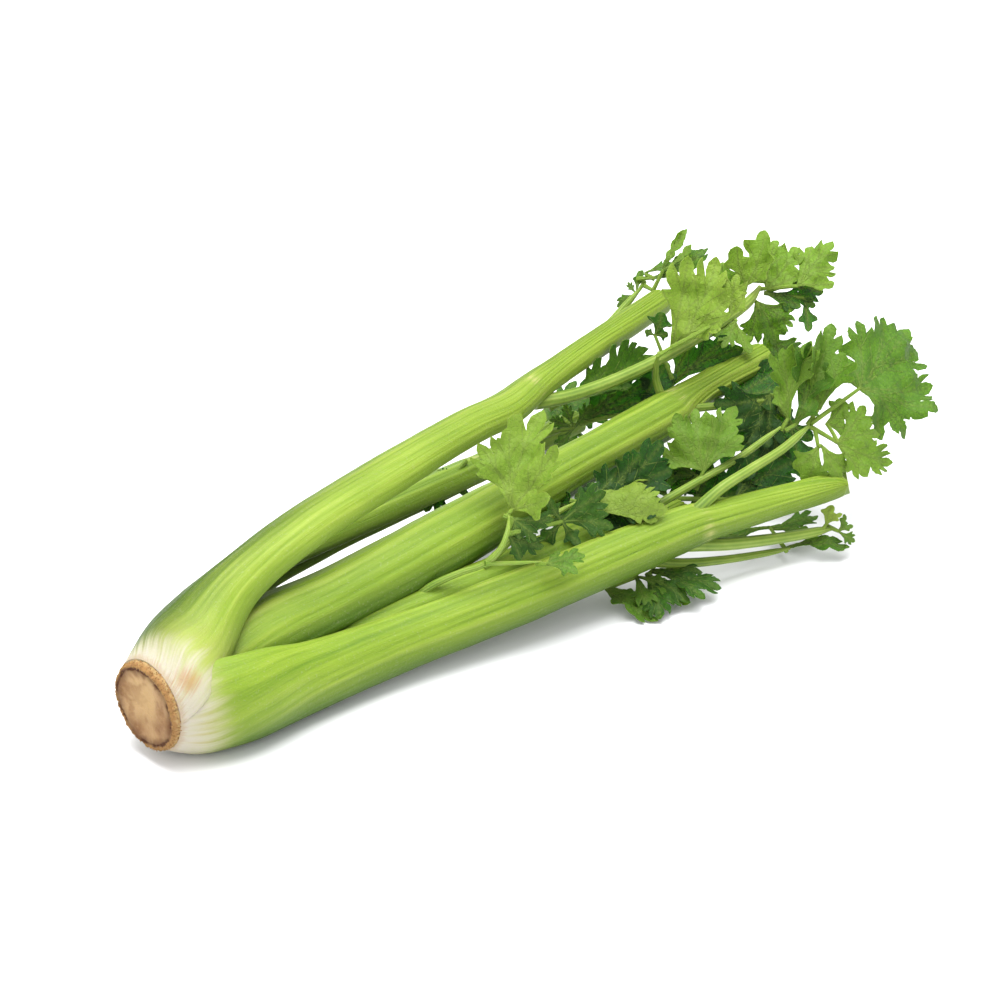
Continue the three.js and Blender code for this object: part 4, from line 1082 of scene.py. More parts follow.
LEAVES = {
    "leaf_first_tall": (
        (170, -30, 58), (199, -21, 93), (-0.7, -0.3, 0.65), 35, 0.04, 0.1, 0.82,
        (2, -1.5, 0, [
            (44.5, 1.5, 0.22, 2), (32, 10, 0.24, 2), (21, 19, 0.27, 2), (29, -13, 0.27, 2),
            (7.5, -17, 0.38, 1),
        ]),
    ),
    "leaf_first_low": (
        (173, -48, 41), (187, -58, 42), UPWARD, 20, 0.08, -0.1, 0.5,
        (1, -3, 0, [(16.5, 2.5, 0.27, 2), (11.5, -7.5, 0.27, 1), (6.5, 6.5, 0.27, 1)]),
    ),
    "leaf_first_dark": (
        (168, -33, 56), (174, -42, 47), RIGHTWARD, 74, 0.05, 0.1, 0.3,
        (0.5, 1.5, 0, [(13.5, -1, 0.27, 2), (14, 11, 0.23, 2), (8, -4.5, 0.27, 1)]),
        (3, -4.5, -2, [(16.5, 6.5, 0.27, 2), (12, -4.5, 0.32, 1)]),
        (20.5, 16.5, -13, [
            (7.5, 22.5, 0.31, 2), (19, 12.5, 0.27, 2), (-11.5, 3.5, 0.32, 1), (-0.5, -13.5, 0.32, 1),
            (13, -2.5, 0.31, 1),
        ]),
    ),
    "leaf_top_pale": (
        (292, -4, 83), (317, -13, 123), (-0.75, -0.55, 0.36), 37, 0.05, 0.1, 0.85,
        (3.5, -3.5, -7, [
            (44, 4, 0.23, 3), (38.5, 14.5, 0.22, 2), (33, -10.5, 0.23, 2), (23.5, -13.5, 0.18, 1),
        ]),
        (29, -18.5, -9, [(17, 7, 0.36, 2), (10.5, -0.5, 0.36, 1)]),
    ),
    "leaf_top_point": (
        (358, 4, 88), (372, 5, 114), LEFTWARD, 17, 0.05, 0.2, 0.75,
        (3.5, 0, 0, [(26.5, 0, 0.31, 1), (15.5, 8.5, 0.31, 1), (13, -7.5, 0.31, 1)]),
    ),
    "leaf_top_end": (
        (370, 3, 89), (391, 1.1, 102), (-0.5, -0.3, 0.8), 47, 0.06, -0.1, 0.7,
        (-1, -3, 0, [
            (25.5, 2.5, 0.27, 2), (22, 11.5, 0.27, 2), (8, 12, 0.32, 1), (15.5, -7.5, 0.27, 1),
        ]),
        (8, -14.5, 1, [
            (29, 3, 0.23, 2), (20.5, -4.5, 0.27, 2), (22.5, 10.5, 0.27, 2), (13.5, -10, 0.23, 1),
        ]),
    ),
    "leaf_top_fold": (
        (368, 6, 90), (396, -14, 82), RIGHTWARD, 40, 0.05, 0.2, 0.25,
        (16.5, 1, -3, [(19.5, -0.5, 0.34, 2), (13, 4, 0.39, 1)]),
        (4.5, -5, 1, [(25, 0.5, 0.18, 2), (17, -4.5, 0.27, 1)]),
        (23, -5, 2, [(1.5, -16, 0.31, 1), (6, -3, 0.56, 1)]),
    ),
    "leaf_top_under": (
        (362, 0, 84), (374, -12, 71), (-0.5, -0.8, 0.25), 45, 0.08, -0.1, 0.5,
        (0.5, -0.5, 0, [
            (20.5, 0.5, 0.27, 3), (20, -11, 0.31, 2), (8.5, -18.5, 0.31, 2), (17.5, 8, 0.13, 1),
        ]),
        (13.5, -10.5, -2, [(22, 3.5, 0.27, 2), (23, -8.5, 0.27, 2), (12.5, -13.5, 0.27, 1)]),
    ),
    "leaf_top_side": (
        (342, -2, 80), (328, 2.7, 75), (-0.45, -0.5, 0.74), 34, 0.06, 0.1, 0.65,
        (-2, 0.5, 0, [(18, -0.5, 0.2, 1), (13.5, 9, 0.27, 2), (2.5, 17, 0.27, 1)]),
    ),
    "leaf_top_blade": (
        (334, 42, 90), (355, 37, 111), VIEWED, 12, 0.05, 0.1, 0.6,
        (-2.5, -5, 0, [(32, 5, 0.05, 3)]),
        (7.5, -3, 2, [(17, -3, 0.09, 2)]),
    ),
    "leaf_top_crest": (
        (334, 45, 91), (359, 27, 100), (-0.4, -0.1, 0.9), 12, 0.06, -0.1, 0.4,
        (4.5, -4, 0, [(28, 4, 0.15, 3), (23, 0.5, 0.18, 1)]),
        (1, -0.5, 1.5, [(14.5, -2.5, 0.23, 2)]),
    ),
    "leaf_top_hidden": (
        (332, 45, 87), (321, 49, 79), (-0.6, -0.4, 0.6), 12, 0.08, 0.1, 0.35,
        (4, 2.5, 0, [(10.5, -2.5, 0.27, 2), (-1, -7.5, 0.23, 2), (-10, -7.5, 0.2, 1)]),
    ),
    "leaf_top_shade": (
        (248, 18, 63), (302, 7, 76), (-0.3, -0.5, 0.8), 12, 0.02, 0.05, 0.38,
        (10, 0, -3, [(48, 1.5, 0.18, 4), (28, -6, 0.18, 2), (22.5, 4, 0.23, 2)]),
    ),
    "leaf_middle_behind": (
        (306, 4, 58), (337, -15, 73), VIEWED, 59, 0.06, 0.1, 0.25,
        (3.5, 0, -7, [(36.5, 0.5, 0.27, 2), (28.5, 7, 0.29, 2), (15, 12.5, 0.22, 1)]),
        (5.5, 23, -4, [(7, 8, 0.56, 1), (-3, 4, 0.45, 1), (5.5, -2.5, 0.45, 1)]),
    ),
    "leaf_middle_drape": (
        (267, -49, 43), (281, -35, 69), (-0.5, -0.6, 0.6), 41, 0.1, -0.12, 0.62,
        (5, -3, 0, [
            (28, 3, 0.23, 2), (10.5, 18.5, 0.23, 2), (31, -16.5, 0.2, 2), (15.5, -18, 0.22, 2),
            (24.5, 12.5, 0.23, 2), (21, -5.5, 0.18, 1),
        ]),
    ),
    "leaf_middle_ruffle": (
        (213, -33, 46), (239, -53, 48), (-0.3, -0.3, 0.9), 16, 0.1, -0.1, 0.85,
        (7, -4.5, 0, [(25.5, 4, 0.25, 3), (21, 22.5, 0.31, 3), (8, 19.5, 0.32, 2), (28, -2.5, 0.14, 2)]),
    ),
    "leaf_middle_low": (
        (214, -28, 47), (240, -48, 55), VIEWED, 43, 0.05, 0.1, 0.1,
        (4.5, -4, -1, [
            (28.5, 4, 0.34, 2), (17.5, 11.5, 0.38, 2), (29.5, -6, 0.31, 2), (4, 9, 0.56, 1),
            (-4.5, 6, 0.56, 1),
        ]),
        (15.5, -1, -4, [(26.5, 15, 0.28, 2), (16, 12, 0.34, 2), (0, 10.5, 0.34, 1), (27.5, 2, 0.34, 2)]),
        (2, -6.5, -5, [
            (27, -14.5, 0.31, 2), (11.5, -16, 0.38, 2), (-3, -11.5, 0.47, 1), (-17, 0.5, 0.47, 1),
            (-12, 8.5, 0.47, 1),
        ]),
    ),
    "leaf_middle_shade": (
        (339, -36, 52), (317, -33, 37), RIGHTWARD, 46, 0.05, 0.1, 0.12,
        (1, -6.5, 0, [
            (26, 6.5, 0.34, 2), (23, -17.5, 0.34, 2), (24, -5.5, 0.34, 1), (20, 14.5, 0.38, 2),
            (-2, 11.5, 0.45, 1),
        ]),
        (1.5, -2.5, -5, [
            (42.5, -4.5, 0.27, 2), (29, -5.5, 0.38, 2), (10.5, 15.5, 0.4, 2), (-1.5, 16.5, 0.34, 1),
        ]),
    ),
    "leaf_middle_hang": (
        (341, -36, 54), (321, -43, 19), (-0.55, -0.7, 0.45), 34, 0.06, 0.1, 0.12,
        (4.5, -4, -1, [(36.5, 4, 0.19, 3), (26.5, 11.5, 0.22, 2), (31.5, -5, 0.22, 2)]),
        (9, 5.5, -6, [
            (40, -11, 0.27, 2), (24.5, 10.5, 0.34, 2), (35, -0.5, 0.34, 2), (6.5, 12.5, 0.45, 1),
        ]),
    ),
    "leaf_inner_dark": (
        (272, -46, 41), (261, -28, 38), LEFTWARD, 21, 0.05, 0.1, 0.3,
        (1, -2, -1, [(20.5, 2, 0.27, 3), (14, -9, 0.27, 2), (8, 8.5, 0.27, 2)]),
    ),
    "leaf_inner_shade": (
        (264, -47, 28), (293, -62, 46), VIEWED, 41, 0.06, 0.1, 0.05,
        (2.5, 1, -5, [(34.5, -1, 0.25, 2), (19, 11.5, 0.29, 2), (24.5, -6.5, 0.22, 2)]),
        (-3, 10, -7, [(18, 2.5, 0.56, 2), (-2, 11.5, 0.5, 2)]),
        (21, -6.5, -5, [(32, -1, 0.29, 2), (24, -7.5, 0.25, 2), (18.5, 9, 0.39, 2)]),
    ),
    "leaf_inner_high": (
        (314, -58, 58), (332, -57, 92), LEFTWARD, 18, 0.05, 0.1, 0.62,
        (3, -1, 0, [(35.5, 1, 0.22, 2), (28.5, 10.5, 0.23, 2), (11.5, 9.5, 0.27, 1)]),
    ),
    "leaf_inner_tall": (
        (315, -60, 58), (337, -60, 87), VIEWED, 15, 0.05, 0.15, 0.4,
        (1.5, -3, -2, [(35, 3, 0.23, 1), (34.5, 11, 0.22, 2), (13.5, -3, 0.36, 1)]),
    ),
    "leaf_front_tall": (
        (323, -65, 60), (346, -56, 96), RIGHTWARD, 16, 0.05, 0.15, 0.55,
        (4.5, -2.5, 0, [(39, 2, 0.18, 2), (31.5, 9.5, 0.14, 2), (27, -4, 0.2, 2)]),
    ),
    "leaf_front_big": (
        (325, -68, 59), (396, -80, 57), (-0.1, -0.68, 0.62), 73, 0.06, -0.1, 0.47,
        (27, 8, 0, [
            (45, -7.5, 0.18, 3), (53, 11, 0.18, 2), (49, 21.5, 0.17, 2), (35.5, 29.5, 0.19, 2),
            (16.5, 30.5, 0.22, 2), (31.5, -21, 0.18, 2), (17, -27, 0.18, 2), (4.5, -24.5, 0.2, 1),
            (1.5, 18.5, 0.4, 1), (-7.5, 9.5, 0.32, 1),
        ]),
    ),
    "leaf_front_drop": (
        (324, -69, 56), (349, -94, 40), (-0.3, -0.7, 0.62), 39, 0.08, -0.1, 0.65,
        (10, -3.5, 0, [
            (29, 3.5, 0.27, 3), (18.5, 12.5, 0.29, 2), (9.5, 24, 0.29, 2), (18, -9, 0.27, 2),
        ]),
        (4, 4.5, -3, [(11, 1, 0.41, 1), (5, 14.5, 0.41, 1)]),
    ),
    "leaf_front_round": (
        (321, -70, 54), (312, -75, 35), VIEWED, 33, 0.15, -0.2, 0.7,
        (4.5, 2, 0, [(18, -2, 0.45, 1), (11, -9.5, 0.45, 1)]),
        (4, 3.5, 1, [(9, 14, 0.36, 1), (13.5, 10, 0.36, 1)]),
    ),
    "leaf_front_tip": (
        (315, -82, 15), (321, -83, 25), LEFTWARD, 12, 0.1, 0.2, 0.95,
        (2, -1, 0, [(9, 1, 0.38, 1), (7.5, -4.5, 0.23, 1)]),
    ),
    "leaf_front_tuft": (
        (319, -85, 14), (324, -93, 9), (-0.4, -0.6, 0.6), 16, 0.1, 0.1, 0.45,
        (2.5, 0, 0, [(9, 0.5, 0.36, 2), (4.5, 5.5, 0.27, 1), (-1, 8.5, 0.23, 1)]),
    ),
    "leaf_floor_broad": (
        (244, -51, 12), (253, -77, 8), UPWARD, 58, 0.06, -0.03, 0.3,
        (-2.5, -5.5, 0, [(30.5, 6, 0.18, 3), (28.5, -7.5, 0.15, 2), (20, 9.5, 0.18, 2)]),
        (-3.5, -8.5, 1, [(16.5, -21.5, 0.27, 3), (23.5, -6.5, 0.23, 2)]),
    ),
    "leaf_floor_tongue": (
        (236, -48, 12), (237, -73, 7), UPWARD, 43, 0.06, -0.05, 0.5,
        (0.5, -6, 0, [(25.5, 6.5, 0.18, 2), (17, -10, 0.27, 2), (15, 6, 0.23, 2)]),
        (-5, -19, 0, [(28.5, 1.5, 0.18, 2), (16.5, 3.5, 0.25, 1), (15, -3.5, 0.25, 1)]),
    ),
    "leaf_floor_far": (
        (303, -76, 6), (322, -93, 6), UPWARD, 41, 0.06, 0, 0.4,
        (-3.5, 2, 0, [(28.5, -2, 0.14, 2), (20, 2, 0.16, 1)]),
        (-8, 17, 0, [(22, 4.5, 0.25, 2), (-25.5, 1.5, 0.18, 2), (16, -6.5, 0.18, 1)]),
    ),
    "leaf_back_dark": (
        (252, 27, 47), (274, 20, 55), RIGHTWARD, 18, 0.06, 0.1, 0.35,
        (11, -5.5, 0, [(13.5, 5, 0.27, 2), (-8, 9, 0.25, 3), (-11.5, -4.5, 0.25, 2), (2, 12, 0.25, 2)]),
    ),
    "leaf_back_wide": (
        (267, 24, 47), (298, 6, 63), VIEWED, 19, 0.06, 0.1, 0.12,
        (1.5, -2, -1, [(38, 2.5, 0.22, 2), (21.5, 4.5, 0.34, 2), (32, -6, 0.22, 2)]),
        (28.5, -9.5, -4, [(22, 13.5, 0.38, 2), (25.5, -0.5, 0.34, 2)]),
    ),
    "leaf_rear_high": (
        (352, 16, 84), (359, 19, 98), VIEWED, 23, 0.05, 0.1, 0.55,
        (-1, -4, 0, [(17, 4, 0.36, 1), (14, -6.5, 0.36, 1), (9.5, 10, 0.27, 1), (0.5, -8, 0.36, 1)]),
    ),
    "leaf_rear_drape": (
        (300, 18, 56), (350, -26, 64), VIEWED, 23, 0.05, 0.1, 0.15,
        (38, -13.5, -6, [
            (30.5, 13, 0.29, 2), (11.5, 12.5, 0.38, 2), (32, 1.5, 0.29, 2), (-6.5, 9.5, 0.34, 1),
        ]),
    ),
    "leaf_back_small": (
        (206, 35, 44), (185, 45, 36), (-0.5, -0.6, 0.6), 27, 0.1, -0.1, 0.2,
        (6.5, 4.5, 0, [(18, -4.5, 0.28, 3), (17, 8, 0.34, 2), (4, -6, 0.34, 2), (-3, 10, 0.34, 1)]),
    ),
    "leaf_under_low": (
        (290, 67, 14), (326, 80, 3), (0, 0.2, 0.95), 34, 0.08, -0.1, 0.3,
        (4, 0, 0, five_lobes(35.8, 34)),
    ),
    "leaf_under_side": (
        (282, 67, 12), (290, 94, 3), (0, 0.3, 0.95), 28, 0.08, -0.1, 0.3,
        (3, 0, 0, five_lobes(26.6, 28)),
    ),
    "leaf_under_end": (
        (290, 64, 16), (330, 60, 30), (-0.3, -0.3, 0.9), 30, 0.08, -0.1, 0.3,
        (4.3, 0, 0, five_lobes(38.3, 30)),
    ),
}
print("leaves:", len(LEAVES))

# %% [markdown]
# ## Drawing a lobe
# A celery lobe is a wedge that widens outwards and ends in pointed teeth. Each side is drawn from the foot
# to the tip: the teeth stand on a rounded shoulder and point forwards, because each notch lies close
# behind the tooth before it. A lobe also bends a little to one side. A vein runs along its middle, and one
# branches off to every tooth.

# %% Lobes
SHOULDER = 0.6              # where a lobe's first tooth stands, as a part of its reach
FOOT_HALF = 0.03            # a lobe's half width where it leaves the hub
FLANK = ((0.22, 0.2), (0.4, 0.4), (0.5, 0.62))      # its edge from there, along and out
TOOTH_DEPTH = 0.36          # how far a notch is drawn in towards the lobe's middle
TOOTH_BULGE = 0.2           # how far a tooth's outer edge bulges, as a part of its length
TOOTH_EDGE = ((0.3, 0.8), (0.6, 1.0), (0.86, 0.5))  # and where along the edge it does
NOTCH_AFTER = 0.4           # how soon a notch follows its tooth, as a part of their spacing
BEND = 0.3                  # how far a lobe may bend, in radians
VEIN_REACH = 0.93           # how far the middle vein goes
VEIN_LEAD = 0.34            # how far before its tooth a side vein leaves the middle one
VEIN_FIRST = 0.08           # but not nearer to the hub than this
VEIN_AHEAD, VEIN_OUT = 0.95, 0.9        # how far it goes towards the tooth's tip, along and out
VEIN_ARC = 1.25             # over 1: it leaves the middle vein at a small angle and turns outwards
VEIN_STEPS, TWIG_STEPS = 12, 7          # straight pieces in a middle vein and in a side vein


def lobe_side(half, teeth, chance):
    """One side of a lobe of reach 1, as places along it and out from its middle, and its tooth tips."""
    line = [(0.0, FOOT_HALF)] + [(far, out * half) for far, out in FLANK]
    tips = []

    def bulge_to(tip):
        """A rounded edge from the last point to a tooth's tip."""
        start = line[-1]
        dx, dy = tip[0] - start[0], tip[1] - start[1]
        for part, rise in TOOTH_EDGE:
            out = TOOTH_BULGE * rise
            line.append((start[0] + part * dx - out * dy, start[1] + part * dy + out * dx))

    def shoulder(t, keep):
        x = SHOULDER + (1 - SHOULDER) * math.sin(t * math.pi / 2)
        y = half * math.cos(t * math.pi / 2) ** 0.8
        return 0.5 + (x - 0.5) * keep, y * keep

    for number in range(teeth):
        t = (number + chance.uniform(-0.12, 0.2)) / teeth
        tip = shoulder(max(t, 0), chance.uniform(0.95, 1.06))
        bulge_to(tip)
        line.append(tip)
        tips.append(tip)
        depth = TOOTH_DEPTH * chance.uniform(0.7, 1.4)
        line.append(shoulder(min(t + NOTCH_AFTER / teeth, 0.98), 1 - depth))
    bulge_to((1.0, 0.0))
    return line, tips


def lobe(x, y, half, teeth, chance):
    """The outline and the veins of a lobe that goes from the origin to a tip."""
    reach = math.hypot(x, y)
    turn = math.atan2(y, x)
    bend = chance.uniform(-BEND, BEND)

    def laid(far, out):
        angle = turn + bend * (far - 1)
        return (
            reach * (far * math.cos(angle) - out * math.sin(angle)),
            reach * (far * math.sin(angle) + out * math.cos(angle)),
        )

    left, left_tips = lobe_side(half, teeth, chance)
    right, right_tips = lobe_side(half, teeth, chance)
    ring = left + [(1.0, 0.0)] + [(far, -out) for far, out in reversed(right)]
    veins = [[laid(VEIN_REACH * t / VEIN_STEPS, 0) for t in range(VEIN_STEPS + 1)]]
    for sign, tips in ((1, left_tips), (-1, right_tips)):
        for far, out in tips:
            start = max(far - VEIN_LEAD, VEIN_FIRST)
            ahead = VEIN_AHEAD * far - start
            aside = sign * VEIN_OUT * out
            steps = [t / TWIG_STEPS for t in range(TWIG_STEPS + 1)]
            veins.append([laid(start + ahead * t, aside * t**VEIN_ARC) for t in steps])
    return [laid(far, out) for far, out in ring], veins


print("a lobe's outline has", len(lobe(1, 0, 0.25, 3, random.Random(1))[0]), "points")

# %% [markdown]
# ## From outlines to a sheet
# The lobes overlap near the hub. A Delaunay triangulation of all the outlines together gives their union,
# and points inside keep its triangles even, so that the sheet can bend.

# %% A sheet of triangles
INSIDE_STEP = 1.25          # mm between points inside a leaf
ROW_STEP = 0.87             # rows of even triangles are this much closer than their points
EDGE_STEP = 0.9             # mm between points along its edge
SAME_POINT = 1e-4           # points nearer than this are one


def cut_short(ring, step):
    """A closed outline with its long sides divided."""
    points = []
    for (ax, ay), (bx, by) in zip(ring, ring[1:] + ring[:1]):
        parts = max(1, math.ceil(math.hypot(bx - ax, by - ay) / step))
        points += [(ax + (bx - ax) * i / parts, ay + (by - ay) * i / parts) for i in range(parts)]
    return points


def inside(points, ring):
    """Which points are inside a closed outline."""
    x, y = points[:, 0], points[:, 1]
    within = np.zeros(len(points), bool)
    for (ax, ay), (bx, by) in zip(ring, ring[1:] + ring[:1]):
        if ay != by:
            within ^= ((ay > y) != (by > y)) & (x < (bx - ax) * (y - ay) / (by - ay) + ax)
    return within


def nearest(points, others):
    """How far each point is from the nearest of the others, and which one that is."""
    gaps = np.linalg.norm(points[:, None] - others[None], axis=2)
    return gaps.min(1), gaps.argmin(1)


def sheet_of(outlines):
    """The union of the outlines as flat points and triangles, and the edges round its border."""
    rings = [cut_short(ring, EDGE_STEP) for ring in outlines]
    border = np.vstack([np.array(ring) for ring in rings])
    low, high = border.min(0), border.max(0)
    rows = np.arange(low[1], high[1], INSIDE_STEP * ROW_STEP)
    grid = np.array([
        (x + (row % 2) * INSIDE_STEP / 2, y)
        for row, y in enumerate(rows) for x in np.arange(low[0], high[0], INSIDE_STEP)
    ])
    within = np.any([inside(grid, ring) for ring in rings], axis=0)
    grid = grid[within & (nearest(grid, border)[0] > INSIDE_STEP * 0.5)]
    loops, start = [], 0
    for ring in rings:
        loops.append(list(range(start, start + len(ring))))
        start += len(ring)
    flat = [Vector(p) for p in np.vstack([border, grid])]
    points, _, faces, *_ = delaunay_2d_cdt(flat, [], loops, 1, SAME_POINT)
    used = sorted({i for face in faces for i in face})
    new = {old: i for i, old in enumerate(used)}
    points = np.array([points[i][:] for i in used])
    faces = [tuple(new[i] for i in face) for face in faces]
    sides = {}
    for face in faces:
        for a, b in zip(face, face[1:] + face[:1]):
            if (b, a) in sides:
                del sides[b, a]
            else:
                sides[a, b] = True
    return points, faces, list(sides)


# %% [markdown]
# ## A leaf's relief
# A real leaf is never flat. Each lobe curls up or down towards its tip, its two halves fold up from the
# vein, the edges ruffle, and the skin puckers between the veins. Each of these is a small height above the
# leaf's plane, and the heights add up.

# %% Relief
# Heights, widths and lengths are parts of the leaflet's reach, and those of puckers are in millimetres.
CURL = 0.17                 # how far a lobe's tip may curl
LEAST_CURL, MOST_CURL = -1, 0.7         # and how much of that it does, down or up
CURL_BLEND = 0.09           # over what width one lobe's curl gives way to the next one's
FOLD = 0.24                 # how steeply the sheet rises from a middle vein
FOLD_WIDTH = 0.2            # and how far from the vein
RUFFLE, RUFFLE_LENGTH = 0.05, 0.3
RIM_WIDTH = 0.16            # how far in from the border the ruffle reaches
WAVE, WAVE_LENGTH = 0.02, 0.6
PUCKER, PUCKER_LENGTH = 0.22, 2.6
PUCKER_FROM = 1.5           # how far from a vein puckers reach their full height


def ripples(places, length, chance):
    """Waves of about that length in a few random directions, from -1 to 1."""
    total = np.zeros(len(places))
    for _ in range(3):
        turn, shift = chance.uniform(0, 2 * math.pi), chance.uniform(0, 2 * math.pi)
        stretch = 2 * math.pi / length * chance.uniform(0.8, 1.25)
        total += np.sin((places @ [math.cos(turn), math.sin(turn)]) * stretch + shift) / 3
    return total


def relief(places, ribs, border, reach, chance):
    """Height above the plane at each place, and how far each is from a middle vein."""
    gaps, parts = [], []
    for rib in ribs:
        gap, which = nearest(places, rib)
        gaps.append(gap)
        parts.append(which / (len(rib) - 1))
    gaps, parts = np.array(gaps), np.array(parts)
    weight = np.exp(-((gaps / (CURL_BLEND * reach)) ** 2)) + 1e-9
    weight /= weight.sum(0)
    curls = np.array([chance.uniform(LEAST_CURL, MOST_CURL) * CURL * reach for _ in ribs])[:, None]
    curl = (weight * curls * parts**2).sum(0)
    gap = gaps.min(0)
    edge = nearest(places, border)[0]
    rim = np.clip(1 - edge / (RIM_WIDTH * reach), 0, 1) ** 1.5
    ruffle = RUFFLE * reach * rim * ripples(places, RUFFLE_LENGTH * reach, chance)
    waves = WAVE * reach * ripples(places, WAVE_LENGTH * reach, chance)
    pucker = PUCKER * np.clip(gap / PUCKER_FROM, 0, 1) * ripples(places, PUCKER_LENGTH, chance)
    return curl + FOLD * np.minimum(gap, FOLD_WIDTH * reach) + ruffle + waves + pucker, gap


# %% [markdown]
# ## A sheet with two faces
# A leaf has an upper and an under side, so its sheet gets its thickness along its normals, half of it on
# each side. The two faces are closed round the border. A leaf is then one mesh of its leaflets, its stem
# and its veins.

# %% Thickness
SHEET = 0.35                # how thick a leaf is, mm


def thickened(points, faces, sides):
    """A closed sheet: the points on both faces, and all its faces. The upper ones come first."""
    corners = points[np.array(faces)]
    across = np.cross(corners[:, 1] - corners[:, 0], corners[:, 2] - corners[:, 0])
    normals = np.zeros_like(points)
    np.add.at(normals, np.array(faces).ravel(), np.repeat(across, 3, axis=0))
    shift = unit(normals) * SHEET / 2
    count = len(points)
    under = [tuple(count + i for i in reversed(face)) for face in faces]
    rim = [(b, a, a + count, b + count) for a, b in sides]
    return np.vstack([points + shift, points - shift]), [*faces, *under, *rim]


def joined(name, parts):
    """Several meshes as one."""
    together = bmesh.new()
    for part in parts:
        together.from_mesh(part)
    mesh = bpy.data.meshes.new(name)
    together.to_mesh(mesh)
    together.free()
    mesh.materials.append(LEAF)
    mesh.polygons.foreach_set("use_smooth", [True] * len(mesh.polygons))
    return mesh


# %% [markdown]
# ## One leaf
# Every leaflet is drawn flat, given its relief and laid on the leaf's own bowed and cupped surface. Stems
# and veins are paths on the same surface, swept by the recipe above and sunk halfway into the sheet, so
# they show on both sides.

# %% The leaf maker
STEM_START, STEM_END = 1.15, 0.8        # radii of the bare stem, mm
RIB_THICK, RIB_THIN = 0.55, 0.26        # radii of a middle vein, mm
TWIG_THICK, TWIG_THIN = 0.28, 0.22      # radii of a side vein, mm
VEIN_SIDES = 6
MOST_BOW = 0.35             # the most that bow and cup come to, as a part of the leaf's length
LOWEST = 1.6                # no leaf's middle sheet goes lower than this, table mm
STEM_ROOT = 3.0             # how far a leaf's stem reaches back into what it grows from, mm
STEM_POINTS = 14
VEIN_SPREAD = 0.9           # how far from a vein the sheet takes some of its colour, mm
RIB_TONE, TWIG_TONE = 0.4, 0.12         # how much of a stem's colour veins have


def leaf_mesh(name, row, chance):
    """One leaf with its stem and veins, from its row of the table and its own random draws."""
    base, tip, face, width, bow, cup, age_tint_and_painted_shade, *leaflets = row
    base, long = np.array(base, float), np.linalg.norm(np.subtract(tip, base))
    along = unit(np.subtract(tip, base))
    out = unit(np.array(face) - along * np.dot(face, along))
    side = np.cross(out, along)

    def laid(flat, lift):
        u, v = flat[:, :1] / long, flat[:, 1:] / (width / 2)
        height = long * np.clip(4 * bow * u * (1 - u) + cup * v**2, -MOST_BOW, MOST_BOW)
        height = height + np.reshape(lift, (-1, 1))
        points = base + along * flat[:, :1] + side * flat[:, 1:] + out * height
        points[:, 2] = np.maximum(points[:, 2], LOWEST)
        return points

    parts, paths = [], []
    root = (-STEM_ROOT, 0)
    for hub_x, hub_y, up, lobes in leaflets:
        drawn = [lobe(*form, chance) for form in lobes]
        outlines = [ring for ring, _ in drawn]
        veins = [[np.array(vein) for vein in group] for _, group in drawn]
        reach = max(math.hypot(x, y) for x, y, *_ in lobes)
        flat, faces, sides = sheet_of(outlines)
        places = np.vstack([flat, *[vein for group in veins for vein in group]])
        border = np.vstack([np.array(ring) for ring in outlines])
        height, gap = relief(places, [group[0] for group in veins], border, reach, chance)
        solid = laid(places + (hub_x, hub_y), height + up)

        count = len(flat)
        points, faces = thickened(solid[:count], faces, sides)
        near = np.tile(np.exp(-((gap[:count] / VEIN_SPREAD) ** 2)), 2)
        parts.append(mesh_of(name, place(points), faces, {
            "age_tint_and_painted_shade": np.full(2 * count, age_tint_and_painted_shade), "vein": near,
            "under": np.repeat([0.0, 1.0], count), "stalk": np.zeros(2 * count),
        }))
        start = count
        for group in veins:
            for number, vein in enumerate(group):
                end = start + len(vein)
                far = np.linspace(0, 1, len(vein))
                thick, thin = (RIB_THICK, RIB_THIN) if number == 0 else (TWIG_THICK, TWIG_THIN)
                tone = (RIB_TONE if number == 0 else TWIG_TONE) * (1 - 0.5 * far)
                radius = (thick + (thin - thick) * far) * MM
                carried = {"thick": radius, "stalk": tone, "age_tint_and_painted_shade": age_tint_and_painted_shade, "vein": 1.0}
                paths.append((solid[start:end], carried))
                start = end
        share = np.linspace(0, 1, STEM_POINTS)[:, None]
        stem = np.array(root) + (np.array([(hub_x, hub_y)]) - root) * share
        radius = (STEM_START + (STEM_END - STEM_START) * share[:, 0]) * MM
        lift = (height[count] + up) * share[:, 0] ** 2
        paths.append((laid(stem, lift), {"thick": radius, "stalk": 1.0, "age_tint_and_painted_shade": age_tint_and_painted_shade, "vein": 1.0}))
        root = (hub_x, hub_y)
    values = {"Sides": VEIN_SIDES, "Flutes": 0.0, "Flute depth": 0.0, "Skin": LEAF}
    parts.append(cooked(path_mesh(name, paths), SWEEP, values))
    return joined(name, parts)


# %% [markdown]
# ## The forty leaves
# Each row of the table becomes one leaf. A leaf's random draws start from a seed of its own, so a change
# to one leaf doesn't change the others.

# %% Leaves
FIRST_SEED = 100            # the first leaf's seed, from which the others count on

for number, (name, row) in enumerate(LEAVES.items()):
    mesh = leaf_mesh(name, row, random.Random(FIRST_SEED + number))
    mesh.set_sharp_from_angle(angle=SHARP_FROM)
    finished(name + "_blade", mesh, name)
    print(name, "triangles:", triangles(mesh))

# %% [markdown]
# ## The butt
# The cut face is a slightly hollow disc, rough with fibre ends, with a crease inside a ragged rim. Behind
# the rim the butt narrows to a point between the stalk bases, as its solid does. It is a mesh of rings
# round the axis, and a table of radii and depths gives its profile.

